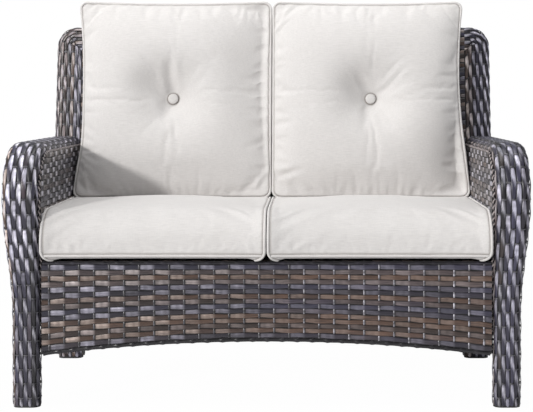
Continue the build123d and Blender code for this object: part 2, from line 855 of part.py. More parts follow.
seat_middle_z = (deck_top + gap + piping + seat_top) / 2
for side, hand in hands:
    middle = side * (cushion_split + cushion_wide) / 2
    name = hand + "_seat_"
    zip_half = zip_long / 2
    outer = seat_block(middle, 0)
    hollow = seat_block(middle, cover_wall)
    foam = seat_block(middle, cover_wall + core_play)
    slot = slot_block(
        (middle - zip_half, seat_rear - 2 * cover_wall, seat_middle_z - zip_wide / 2),
        (middle + zip_half, seat_rear + over, seat_middle_z + zip_wide / 2),
    )
    with BuildPart() as seat_cover:
        add(outer)
        add(hollow, mode=Mode.SUBTRACT)
        add(slot, mode=Mode.SUBTRACT)
    keep(seat_cover.part, name + "cover")
    with BuildPart() as seat_core:
        add(foam)
    keep(seat_core.part, name + "core")

    cords = []
    for end in (-1, 1):
        with BuildLine(Plane.YZ.offset(middle + end * (cap + seam_out))) as loop:
            seat_outline(seam_out, 0, 0)
        cords += cord_along(loop.wire().order_edges(), piping_r)
    reach = seat_nose + piping_r + gap
    seam_z = nose_z - reach * sin(radians(nose_seam))
    seam_y = nose_y - reach * cos(radians(nose_seam))
    seam_half = cap + seam_out - piping_r - gap
    with BuildLine(Plane.XY.offset(seam_z)) as run:
        ThreePointArc(
            (middle - seam_half, seam_y),
            (middle, seam_y + seat_draw),
            (middle + seam_half, seam_y),
        )
    cords += cord_along(run.edges(), piping_r)
    with BuildPart() as seat_piping:
        add(cords)
    keep(seat_piping.part, name + "piping")

    with BuildPart() as seat_zip:
        with BuildSketch(Plane.XZ.offset(-seat_rear)):
            with Locations((middle, seat_middle_z)):
                Rectangle(zip_long - 2 * thread_play, zip_wide - 2 * thread_play)
        extrude(amount=cover_wall)
        with BuildSketch(Plane.XZ.offset(-seat_rear)):
            with Locations((middle, seat_middle_z)):
                Rectangle(zip_long - 2 * thread_play, zip_wide / 6)
        extrude(amount=-cover_wall / 2)
    keep(seat_zip.part, name + "zip")

    ride = seat_rear + cover_wall / 2 + gap
    start_x = middle + side * (zip_half - slider_long)
    with BuildPart() as seat_zip_slider:
        with BuildSketch(Plane.XZ.offset(-ride)):
            with Locations((start_x, seat_middle_z)):
                RectangleRounded(slider_long, slider_wide, slider_wide / 4)
        extrude(amount=-slider_thick)
        with BuildSketch(Plane.XZ.offset(-ride - slider_thick)):
            with Locations((start_x, seat_middle_z - pull_long / 2)):
                RectangleRounded(slider_wide / 2, pull_long, slider_wide / 5)
                Circle(slider_wide / 8, mode=Mode.SUBTRACT)
        extrude(amount=-pull_thick)
    keep(seat_zip_slider.part, name + "zip_slider")


# Back cushions: boxed, crowned in front, tufted once, piped along both seams

rest_z = seat_top + piping_r + gap
rear_seam = back_crown_rear + gap
front_seam = rear_seam + back_boxing
tuft_floor = front_seam + back_crown - tuft_depth
dent_floor = rear_seam - back_crown_rear + tuft_rear


def low_up(depth):
    """Height along the recline of the cushion's underside, which lies level, at a depth before the face."""
    return (rest_z + seam_out - deck_top - depth * sin(lean_angle)) / cos(lean_angle)


high_up = low_up(rear_seam) + back_tall
tuft_up = (low_up(front_seam) + high_up) / 2


def pillow_outline(middle, inset, depth, turn):
    """The cushion's outline at a depth before the back's face; turn, in degrees, pulls three sides in."""
    half = cap - inset
    low = low_up(depth) + inset
    high = high_up - inset
    right = middle + half - back_round
    left = middle - half + back_round
    top = high - back_round
    foot = low + back_round
    reach = back_round * cos(radians(turn))
    dip = back_round * sin(radians(turn))
    bow = tan(radians(turn / 2))
    side_half = (top - foot) / 2 - dip
    first = CenterArc((right, top), back_round, -turn, 90 + 2 * turn)
    second = CenterArc((left, top), back_round, 90 - turn, 90 + 2 * turn)
    third = CenterArc((left, foot), back_round, 180 - turn, 90 + turn)
    fourth = CenterArc((right, foot), back_round, 270, 90 + turn)
    ThreePointArc(first @ 1, (middle, top + reach - ((right - left) / 2 - dip) * bow), second @ 0)
    ThreePointArc(second @ 1, (left - reach + side_half * bow, (top + foot) / 2), third @ 0)
    Line(third @ 1, fourth @ 0)
    ThreePointArc(fourth @ 1, (right + reach - side_half * bow, (top + foot) / 2), first @ 0)


def pillow_slice(middle, skin, stations):
    """A loft of the cushion's outlines; each station is depth, inset and turn."""
    with BuildPart() as block:
        for depth, inset, turn in stations:
            with BuildSketch(back_plane.offset(depth)):
                with BuildLine():
                    pillow_outline(middle, inset + skin, depth, turn)
                make_face()
        loft(ruled=True)
    return block.part


def tuft_block(middle, skin):
    """The bell-mouthed hollow that the front button pulls into the crown, grown by skin."""
    rise = front_seam + back_crown - skin
    foot = button_size / 2 + gap + skin
    run = tuft_reach - foot
    bend = (run**2 + tuft_depth**2) / (2 * tuft_depth)
    centre = back_plane.from_local_coords((middle, tuft_up, 0))
    half_way = rise - bend + sqrt(bend**2 - (run / 2) ** 2)
    with BuildPart() as block:
        with BuildSketch(Plane(origin=centre, x_dir=(1, 0, 0), z_dir=-back_plane.y_dir)):
            with BuildLine():
                arc = ThreePointArc(
                    (foot, rise - tuft_depth),
                    (tuft_reach - run / 2, half_way),
                    (tuft_reach, rise),
                )
                Polyline(
                    arc @ 1,
                    (tuft_reach, rise + over),
                    (0, rise + over),
                    (0, rise - tuft_depth),
                    arc @ 0,
                )
            make_face()
        revolve(axis=Axis(centre, back_plane.z_dir))
    return block.part


def tuft_disc(middle, size, low, high):
    """A round block about the tuft's axis between two depths."""
    with BuildPart() as block:
        with BuildSketch(back_plane.offset(low)):
            with Locations((middle, tuft_up)):
                Circle(size / 2)
        extrude(amount=high - low)
    return block.part


def pillow_block(middle, skin):
    """The whole cushion drawn in by skin: rear crown, boxing and front crown."""
    rear = (rear_seam - back_crown_rear + skin, rear_inset, back_turn)
    rear_edge = (rear_seam, 0, back_turn)
    front_edge = (front_seam, 0, back_turn)
    stations = []
    for number, turn_share in enumerate(crown_turn_shares):
        angle = radians(90) * number / (len(crown_turn_shares) - 1)
        depth = front_seam + (back_crown - skin) * sin(angle)
        stations.append((depth, crown_run * (1 - cos(angle)), back_turn * turn_share))
    slices = [
        pillow_slice(middle, skin, (rear, rear_edge)),
        pillow_slice(middle, skin, (rear_edge, front_edge)),
        pillow_slice(middle, skin, stations),
    ]
    tuft = tuft_block(middle, skin)
    with BuildPart() as block:
        add(slices)
        add(tuft, mode=Mode.SUBTRACT)
    return block.part


zip_y, zip_z = back_point(low_up((rear_seam + front_seam) / 2), (rear_seam + front_seam) / 2)
for side, hand in hands:
    middle = side * (cushion_split + cushion_wide) / 2
    name = hand + "_back_"
    zip_plane = Plane(origin=(middle, zip_y, zip_z), x_dir=(1, 0, 0), z_dir=(0, 0, -1))
    outer = pillow_block(middle, 0)
    hollow = pillow_block(middle, cover_wall)
    foam = pillow_block(middle, cover_wall + core_play)
    cord_hole = tuft_disc(middle, cord_size + 2 * thread_play, -over, tuft_floor + over)
    dent = tuft_disc(middle, button_size, -over, dent_floor)
    lining = tuft_disc(middle, button_size + 2 * cover_wall, -over, dent_floor + cover_wall)
    room = cover_wall + core_play
    rear_room = tuft_disc(middle, button_size + 2 * room, -over, dent_floor + room)
    with BuildPart() as inside:
        add(hollow)
        add(lining, mode=Mode.SUBTRACT)
    with BuildPart() as slot:
        with BuildSketch(zip_plane.offset(-2 * cover_wall)):
            Rectangle(zip_long, zip_wide)
        extrude(amount=over)
    with BuildPart() as back_cover:
        add(outer)
        add(dent, mode=Mode.SUBTRACT)
        add(inside.part, mode=Mode.SUBTRACT)
        add(cord_hole, mode=Mode.SUBTRACT)
        add(slot.part, mode=Mode.SUBTRACT)
    keep(back_cover.part, name + "cover")

    with BuildPart() as back_core:
        add(foam)
        add(rear_room, mode=Mode.SUBTRACT)
        add(cord_hole, mode=Mode.SUBTRACT)
    keep(back_core.part, name + "core")

    cords = []
    for depth in (rear_seam - seam_out, front_seam + seam_out):
        with BuildLine(back_plane.offset(depth)) as loop:
            pillow_outline(middle, -seam_out, depth, back_turn)
        cords += cord_along(loop.wire().order_edges(), piping_r)
    with BuildPart() as back_piping:
        add(cords)
    keep(back_piping.part, name + "piping")

    with BuildPart() as button:
        with BuildSketch(back_plane.offset(tuft_floor + gap)):
            with Locations((middle, tuft_up)):
                Circle(button_size / 2)
        extrude(amount=button_thick)
        rim = button.edges().sort_by(Axis(back_plane.origin, back_plane.z_dir))[-1]
        fillet(rim, button_thick * dome_share)
    keep(button.part, name + "button")

    rear_button = tuft_disc(
        middle, button_size - 2 * gap, dent_floor - gap - rear_button_thick, dent_floor - gap
    )
    keep(rear_button, name + "rear_button")
    cord = tuft_disc(middle, cord_size, dent_floor - gap, tuft_floor + gap)
    keep(cord, name + "tufting_cord")

    with BuildPart() as back_zip:
        with BuildSketch(zip_plane.offset(-cover_wall)):
            Rectangle(zip_long - 2 * thread_play, zip_wide - 2 * thread_play)
        extrude(amount=cover_wall)
        with BuildSketch(zip_plane):
            Rectangle(zip_long - 2 * thread_play, zip_wide / 6)
        extrude(amount=cover_wall / 2)
    keep(back_zip.part, name + "zip")

    start_x = side * (zip_long / 2 - slider_long)
    with BuildPart() as back_zip_slider:
        with BuildSketch(zip_plane.offset(cover_wall / 2 + gap)):
            with Locations((start_x, 0)):
                RectangleRounded(slider_long, slider_wide, slider_wide / 4)
        extrude(amount=slider_thick)
        with BuildSketch(zip_plane.offset(cover_wall / 2 + gap + slider_thick)):
            with Locations((start_x, -pull_long / 2)):
                RectangleRounded(slider_wide / 2, pull_long, slider_wide / 5)
                Circle(slider_wide / 8, mode=Mode.SUBTRACT)
        extrude(amount=pull_thick)
    keep(back_zip_slider.part, name + "zip_slider")


os.makedirs("parts", exist_ok=True)
for name, part in parts.items():
    export_step(part, "parts/" + name + ".step")
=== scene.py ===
import bpy
import numpy as np
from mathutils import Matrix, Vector
from math import atan, atan2, cos, hypot, pi, radians, sin, tan


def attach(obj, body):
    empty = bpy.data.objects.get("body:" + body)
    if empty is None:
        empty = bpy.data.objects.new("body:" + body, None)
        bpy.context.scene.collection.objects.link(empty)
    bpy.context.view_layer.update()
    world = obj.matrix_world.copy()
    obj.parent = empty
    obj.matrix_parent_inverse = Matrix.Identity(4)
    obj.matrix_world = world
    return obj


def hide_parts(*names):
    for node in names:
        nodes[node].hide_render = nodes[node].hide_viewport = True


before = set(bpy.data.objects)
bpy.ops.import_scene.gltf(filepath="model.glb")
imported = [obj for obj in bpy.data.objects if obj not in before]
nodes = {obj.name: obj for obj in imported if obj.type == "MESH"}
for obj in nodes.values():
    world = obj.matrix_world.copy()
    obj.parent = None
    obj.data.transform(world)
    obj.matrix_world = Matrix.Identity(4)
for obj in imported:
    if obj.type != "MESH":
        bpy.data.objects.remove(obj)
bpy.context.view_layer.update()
rng = np.random.default_rng(7)

# Sizes of the frame in millimetres, the same as in the CAD source. The first four are half widths: to the
# inner side of the arms and to the outer side of leg, arm and post.
INNER, LEG, ARM, POST = 561.0, 631.0, 649.0, 635.0
DECK, DECK_THICK, ARM_TOP, FOOT = 362.0, 4.0, 653.0, 6.3
BAND, ROUND, WEAVE, GAP = 46.0, 21.0, 3.7, 0.3
MAIN_TUBE_R, SIDE_TUBE_R, SEAT_TUBE = 19.0, 10.0, 25.0
SEAT_DEPTH, LEAN, BACK_H, CORNER, RAIL = 563.0, radians(10), 623.0, 58.0, 70.0
LEG_LEAN, LEAN_LOW, LEAN_HIGH = 30.0, 230.0, 520.0
KICK_BEND, KICK_HIGH, KICK_BACK = 200.0, -78.0, 98.0
SKIRT_LOW, SKIRT_RISE, SKIRT_THICK, SETBACK = 131.0, 33.0, 6.0, 40.0
HALF = BAND / 2
REACH = (BACK_H - ROUND) * sin(LEAN) + (BAND - ROUND) * cos(LEAN)
FRONT_Y = -(SEAT_DEPTH + REACH + ROUND) / 2
BACK_Y = FRONT_Y + SEAT_DEPTH
AXIS_Y = FRONT_Y + HALF
FOOT_Y = AXIS_Y + LEG_LEAN
ROLL = ARM_TOP - HALF - LEAN_HIGH
TALL = LEAN_HIGH - LEAN_LOW
BEND = (TALL**2 + LEG_LEAN**2) / (4 * LEG_LEAN)
TURN = 2 * atan(LEG_LEAN / TALL)
MAIN_X = INNER + WEAVE + GAP + MAIN_TUBE_R
SIDE_X = LEG - WEAVE - GAP - SIDE_TUBE_R
PANEL_IN = INNER - GAP - WEAVE
OUTER_IN = MAIN_X + (SIDE_X - MAIN_X) / 2 + HALF / 2
RAIL_UP = (DECK - DECK_THICK - GAP - SEAT_TUBE / 2 - DECK) / cos(LEAN)
SIDE_UP = BACK_H - CORNER
POST_WIDE = POST - INNER

# Sizes of the cushions
CUSHION, SPLIT, PIPE = 555.0, 1.7, 3.5
SEAT_TOP, SEAT_FRONT, NOSE, DRAW, SEAM_TURN, SEAT_CORNER = 484.0, 7.0, 78.0, 4.0, 20.0, 14.0
SEAT_LIFT, SEAT_ROUND = 7.0, 24.0
BOXING, BACK_CROWN, REAR_CROWN, BACK_TALL, BACK_ROUND, BACK_TURN = 110.0, 42.0, 8.0, 532.0, 19.0, 2.6
TUFT_DEPTH = 40.0
SEAM_OUT = (PIPE + GAP) * cos(radians(45))
CAP = CUSHION / 2 - PIPE - SEAM_OUT
NOSE_Y = FRONT_Y + SEAT_FRONT + PIPE + NOSE
NOSE_Z = SEAT_TOP - NOSE
SEAT_REAR = BACK_Y - GAP - SEAM_OUT - PIPE
REST_Z = SEAT_TOP + PIPE + GAP
REAR_SEAM = REAR_CROWN + GAP
FRONT_SEAM = REAR_SEAM + BOXING
TUFT_FLOOR = FRONT_SEAM + BACK_CROWN - TUFT_DEPTH


def back_point(up, out):
    """y and z of a place on the recline: up along it, out in front of the back's face."""
    return BACK_Y + up * sin(LEAN) - out * cos(LEAN), DECK + up * cos(LEAN) + out * sin(LEAN)


def recline(v):
    """How far points lie up along the recline and out in front of the back's face."""
    y, z = v[:, 1] - BACK_Y, v[:, 2] - DECK
    return y * sin(LEAN) + z * cos(LEAN), -y * cos(LEAN) + z * sin(LEAN)


def low_up(depth):
    """Where a back cushion's foot lies along the recline, at a distance in front of the back."""
    return (REST_Z + SEAM_OUT - DECK - depth * sin(LEAN)) / cos(LEAN)


LOW_UP = low_up(FRONT_SEAM)
HIGH_UP = low_up(REAR_SEAM) + BACK_TALL
TUFT_UP = (LOW_UP + HIGH_UP) / 2
KICK_Y, KICK_Z = back_point(KICK_HIGH, -HALF)
KICK_ANGLE = atan2(KICK_BACK, KICK_Z)
KICK_FOOT_Y = KICK_Y + KICK_BACK


def linear(code):
    """A colour written as six hex digits, as linear values."""
    shares = (int(code[at:at + 2], 16) / 255 for at in (0, 2, 4))
    return np.array([v / 12.92 if v <= 0.04045 else ((v + 0.055) / 1.055) ** 2.4 for v in shares])


def smooth_step(x):
    x = np.clip(x, 0, 1)
    return x * x * (3 - 2 * x)


def bell(x, wide):
    """A soft hump: 1 at 0, falling off over its width."""
    return np.exp(-(x / wide) ** 2)


# Materials

def new_material(name):
    made = bpy.data.materials.new(name)
    made.use_nodes = True
    return made, made.node_tree, made.node_tree.nodes["Principled BSDF"]


def add(tree, kind, feeds=None, **values):
    """A new node. Values are its settings or inputs, feeds are the sockets linked to its inputs."""
    made = tree.nodes.new("ShaderNode" + kind)
    for key, value in values.items():
        if key in made.inputs:
            made.inputs[key].default_value = value
        else:
            setattr(made, key, value)
    for key, socket in (feeds or {}).items():
        tree.links.new(socket, made.inputs[key])
    return made


def finish_shader(tree, shader, colour, rough, bumps, **values):
    """Links a colour, a roughness (source, low, high) and bumps (height, strength, depth in metres)."""
    source, low, high = rough
    spread = add(tree, "MapRange", {0: source}, **{"To Min": low, "To Max": high})
    tree.links.new(spread.outputs[0], shader.inputs["Roughness"])
    tree.links.new(colour, shader.inputs["Base Color"])
    normal = {}
    for height, strength, depth in bumps:
        made = add(tree, "Bump", {"Height": height, **normal}, Strength=strength, Distance=depth)
        normal = {"Normal": made.outputs[0]}
    tree.links.new(normal["Normal"], shader.inputs["Normal"])
    for key, value in values.items():
        shader.inputs[key.replace("_", " ")].default_value = value


def object_space(tree):
    return add(tree, "TexCoord").outputs["Object"]


def noise(tree, place, scale, detail, rough, stretch=None):
    """Noise over a place, stretched where asked."""
    if stretch:
        place = add(tree, "Mapping", {0: place}, Scale=stretch).outputs[0]
    return add(tree, "TexNoise", {"Vector": place}, Scale=scale, Detail=detail, Roughness=rough).outputs[0]


def ramp(tree, source, *stops):
    """The colour that a value picks between stops of place and colour."""
    made = add(tree, "ValToRGB", {0: source})
    marks = made.color_ramp.elements
    while len(marks) < len(stops):
        marks.new(0.5)
    for mark, (place, colour) in zip(marks, stops):
        mark.position = place
        mark.color = (*colour, 1)
    return made.outputs[0]


def multiply(tree, first, *others):
    for other in others:
        made = add(tree, "Mix", None, data_type="RGBA", blend_type="MULTIPLY")
        made.inputs[0].default_value = 1.0
        tree.links.new(first, made.inputs[6])
        tree.links.new(other, made.inputs[7])
        first = made.outputs[2]
    return first


def grey(value):
    return (value, value, value)


def wicker_material(name, rough, colour=None):
    """Streaked plastic strips in the mesh's tones, which also carry painted sheen, glints and shade, or in
    one colour where it is given.
    """
    made, tree, shader = new_material(name)
    streak = noise(tree, add(tree, "UVMap").outputs[0], 1.0, 5.0, 0.6, (5.0, 26.0, 1.0))
    cloud = noise(tree, object_space(tree), 38.0, 4.0, 0.6)
    if colour:
        base = ramp(tree, cloud, (0.3, tuple(c * 0.6 for c in colour)), (0.7, colour))
    else:
        base = add(tree, "Attribute", attribute_name="tone").outputs["Color"]
    shade = ramp(tree, streak, (0.3, (0.55, 0.55, 0.57)), (0.52, grey(1.0)), (0.75, (1.5, 1.46, 1.44)))
    bumps = ((streak, 0.55, 0.0007), (cloud, 0.3, 0.0004))
    finish_shader(tree, shader, multiply(tree, base, shade), (cloud, rough - 0.1, rough + 0.16), bumps,
                  Specular_IOR_Level=0.5)
    return made


def fabric_material(name):
    """Slubbed linen, with painted shade along its seams and round its button."""
    made, tree, shader = new_material(name)
    place = object_space(tree)
    slub = noise(tree, place, 1.0, 4.0, 0.62, (40.0, 620.0, 620.0))
    warp = noise(tree, place, 1.0, 3.0, 0.6, (900.0, 80.0, 80.0))
    cloud = noise(tree, place, 7.0, 5.0, 0.55)
    low, mid, high = (tuple(linear(code)) for code in ("c4c1bf", "cbc8c6", "d1cecc"))
    base = ramp(tree, slub, (0.3, low), (0.5, mid), (0.7, high))
    thread = ramp(tree, warp, (0.32, (0.955, 0.955, 0.96)), (0.55, grey(1.0)), (0.75, grey(1.02)))
    soft = ramp(tree, cloud, (0.3, (0.98, 0.977, 0.975)), (0.7, grey(1.01)))
    # Painted shade: the seam attribute darkens the cloth beside its seams and round its button
    seam = add(tree, "Attribute", attribute_name="seam").outputs["Fac"]
    groove = ramp(tree, seam, (0.0, grey(1.0)), (1.0, (0.36, 0.33, 0.31)))
    bumps = ((slub, 0.3, 0.0004), (warp, 0.22, 0.0004))
    finish_shader(tree, shader, multiply(tree, base, thread, soft, groove), (warp, 0.82, 0.96), bumps,
                  Specular_IOR_Level=0.25, Sheen_Weight=0.12, Sheen_Roughness=0.5)
    return made


def plain_material(name, colour, rough, metallic, scale, bump):
    made, tree, shader = new_material(name)
    grain = noise(tree, object_space(tree), scale, 5.0, 0.6)
    dark, light = (tuple(min(c * share, 1) for c in colour) for share in (0.8, 1.15))
    base = ramp(tree, grain, (0.3, dark), (0.7, light))
    finish_shader(tree, shader, base, (grain, rough * 0.8, min(rough * 1.25, 1)), ((grain, 0.4, bump),),
                  Metallic=metallic)
    return made


def zip_material(name):
    made, tree, shader = new_material(name)
    teeth = add(tree, "TexWave", {"Vector": object_space(tree)}, wave_type="BANDS", bands_direction="X",
                Scale=260.0, Distortion=0.4).outputs[0]
    base = ramp(tree, teeth, (0.25, (0.2, 0.18, 0.16)), (0.6, (0.46, 0.43, 0.39)))
    finish_shader(tree, shader, base, (teeth, 0.62, 0.62), ((teeth, 0.7, 0.0006),))
    return made


WICKER = wicker_material("wicker_strips", 0.31)
# Near-black painted shade on the CAD wicker pieces, seen through the gaps of the weave
SKIN = wicker_material("wicker_shadow", 0.7, (0.012, 0.011, 0.012))
FABRIC = fabric_material("cushion_cloth")
TUBE = plain_material("powder_coat", (0.05, 0.04, 0.038), 0.5, 0.0, 900.0, 0.0002)
STEEL = plain_material("zinc_steel", (0.6, 0.6, 0.62), 0.35, 1.0, 700.0, 0.0001)
BLACK = plain_material("black_moulding", (0.018, 0.018, 0.019), 0.55, 0.0, 500.0, 0.0003)
ZIP = zip_material("zip_tape")


# Mesh helpers: grids of points in millimetres, gathered into one piece

class Sheet:
    def __init__(self):
        self.parts = []
        self.count = 0

    def grid(self, pts, uv, tone, outward, closed=False):
        """A grid of points with faces turned outward; a closed one joins its last column to its first."""
        m, k = pts.shape[:2]
        idx = np.arange(m * k).reshape(m, k)
        if closed:
            idx = np.concatenate([idx, idx[:, :1]], 1)
        q = np.stack([idx[:-1, :-1], idx[:-1, 1:], idx[1:, 1:], idx[1:, :-1]], -1).reshape(-1, 4)
        v = pts.reshape(-1, 3)
        a, b, c = v[q[:, 0]], v[q[:, 1]], v[q[:, 2]]
        if np.sum(np.cross(b - a, c - a) * outward.reshape(-1, 3)[q[:, 0]]) < 0:
            q = q[:, ::-1]
        tones = np.broadcast_to(tone, pts.shape).reshape(-1, 3)
        self.parts.append((v, q + self.count, uv.reshape(-1, 2), tones))
        self.count += m * k

    def build(self, name, material):
        v, q, uv, tones = (np.concatenate(part) for part in zip(*self.parts))
        return make_mesh(name, v, q, material, uv, tones)


def link(name, data):
    ob = bpy.data.objects.new(name, data)
    bpy.context.scene.collection.objects.link(ob)
    return ob


def smooth_shade(me):
    me.polygons.foreach_set("use_smooth", np.ones(len(me.polygons), dtype=bool))


def make_mesh(name, v, q, material, uv=None, tone=None):
    me = bpy.data.meshes.new(name)
    me.vertices.add(len(v))
    set_points(me, v.astype(np.float32))
    me.loops.add(q.size)
    me.loops.foreach_set("vertex_index", q.ravel().astype(np.int32))
    me.polygons.add(len(q))
    me.polygons.foreach_set("loop_start", (np.arange(len(q)) * q.shape[1]).astype(np.int32))
    me.update(calc_edges=True)
    smooth_shade(me)
    if uv is not None:
        me.uv_layers.new(name="UVMap").data.foreach_set("uv", uv[q.ravel()].astype(np.float32).ravel())
        rgba = np.concatenate([tone, np.ones((len(tone), 1))], 1)
        layer = me.color_attributes.new("tone", "FLOAT_COLOR", "POINT")
        layer.data.foreach_set("color", rgba.astype(np.float32).ravel())
    me.materials.append(material)
    return link(name, me)


def set_points(me, v):
    """Puts points in millimetres into a mesh, which counts in metres."""
    me.vertices.foreach_set("co", (v / 1000).astype(np.float32).ravel())


def mesh_arrays(me):
    """Points in millimetres and normals of a mesh."""
    v, n = (np.empty(len(me.vertices) * 3, dtype=np.float32) for _ in range(2))
    me.vertices.foreach_get("co", v)
    me.vertices.foreach_get("normal", n)
    return v.reshape(-1, 3).astype(float) * 1000, n.reshape(-1, 3).astype(float)


def settle(ob, body, slot, *replaced):
    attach(ob, body)
    if replaced:
        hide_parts(*replaced)


def pair(a, b):
    """Two sets of numbers in one common shape."""
    return np.broadcast_arrays(np.asarray(a, dtype=float), np.asarray(b, dtype=float))


def spread_over(vector, pts):
    """One vector for every point."""
    return np.broadcast_to(np.array(vector, dtype=float), pts.shape)


def texture_places(across, along):
    """Texture places across a strip or round a cord, and along it in millimetres."""
    return np.stack(np.broadcast_arrays(across, (along / 1000)[:, None]), -1)


def circle(count):
    return np.linspace(0, 2 * pi, count + 1)[:-1]


def rings(up, side, turns):
    """Vectors round each point of a line, from its two square directions."""
    return up[:, None] * np.cos(turns)[None, :, None] + side[:, None] * np.sin(turns)[None, :, None]


def line_length(points):
    """Length of a line up to each of its points."""
    return np.concatenate([[0], np.cumsum(np.linalg.norm(np.diff(points, axis=0), axis=1))])


def along_line(points, run, places):
    return np.stack([np.interp(places, run, points[:, k]) for k in range(points.shape[1])], -1)


# The weave: flat strips over and under stakes on any surface place(a, b) -> points, normals.
# Strip i runs along b at a = i + 0.5; stake j runs along a at b = j + 0.5.

TONES = [linear(c) for c in ("4c3a31", "352b28", "29262f", "32303e", "463d3e", "201e22", "3a384a", "544741")]
# Painted sheen: a paler partner of each tone, painted on the side of each crest that faces the light
SHEEN = [linear(c) for c in ("a19189", "938786", "8d8a97", "a09dab", "a89e9d", "7a7982", "a8a6b7", "ada19b")]
NIGHT, DUSK, PALE = TONES[5], TONES[2], SHEEN[4]
# Painted glint: a near-white highlight painted in small spots on the strips
GLINT = linear("dedbe6")
STAKE_TONE = linear("6c6a70")
# Painted shade for the dark layer under each weave
SHADOW = np.array([0.012, 0.011, 0.012])
MIX = np.array([0.2, 0.16, 0.17, 0.18, 0.1, 0.08, 0.07, 0.04])
COOL = np.array([0.07, 0.13, 0.2, 0.24, 0.07, 0.1, 0.15, 0.04])
STRIP_MM, PITCH_MM = 13.0, 36.5
# A strip's points across: place, share of the crown's height and share of the light
ACROSS = np.array([-1.0, -0.84, -0.42, 0.0, 0.42, 0.84, 1.0])
LIFT = np.array([-1.0, 0.05, 0.6, 0.4, 0.6, 0.05, -1.0])
EDGE_SHADE = np.array([0.25, 0.72, 1.08, 0.9, 1.08, 0.72, 0.25])
# The same for a stake
STAKE_ACROSS = np.array([-1.0, -0.6, 0.0, 0.6, 1.0])
STAKE_LIFT = np.array([-1.0, 0.3, 0.6, 0.3, -1.0])
STAKE_SHADE = np.array([1.0, 1.35, 0.8, 0.45, 0.2])


def setting(value, b):
    """A setting is a number or a formula of the place along the strips."""
    return value(b) if callable(value) else value


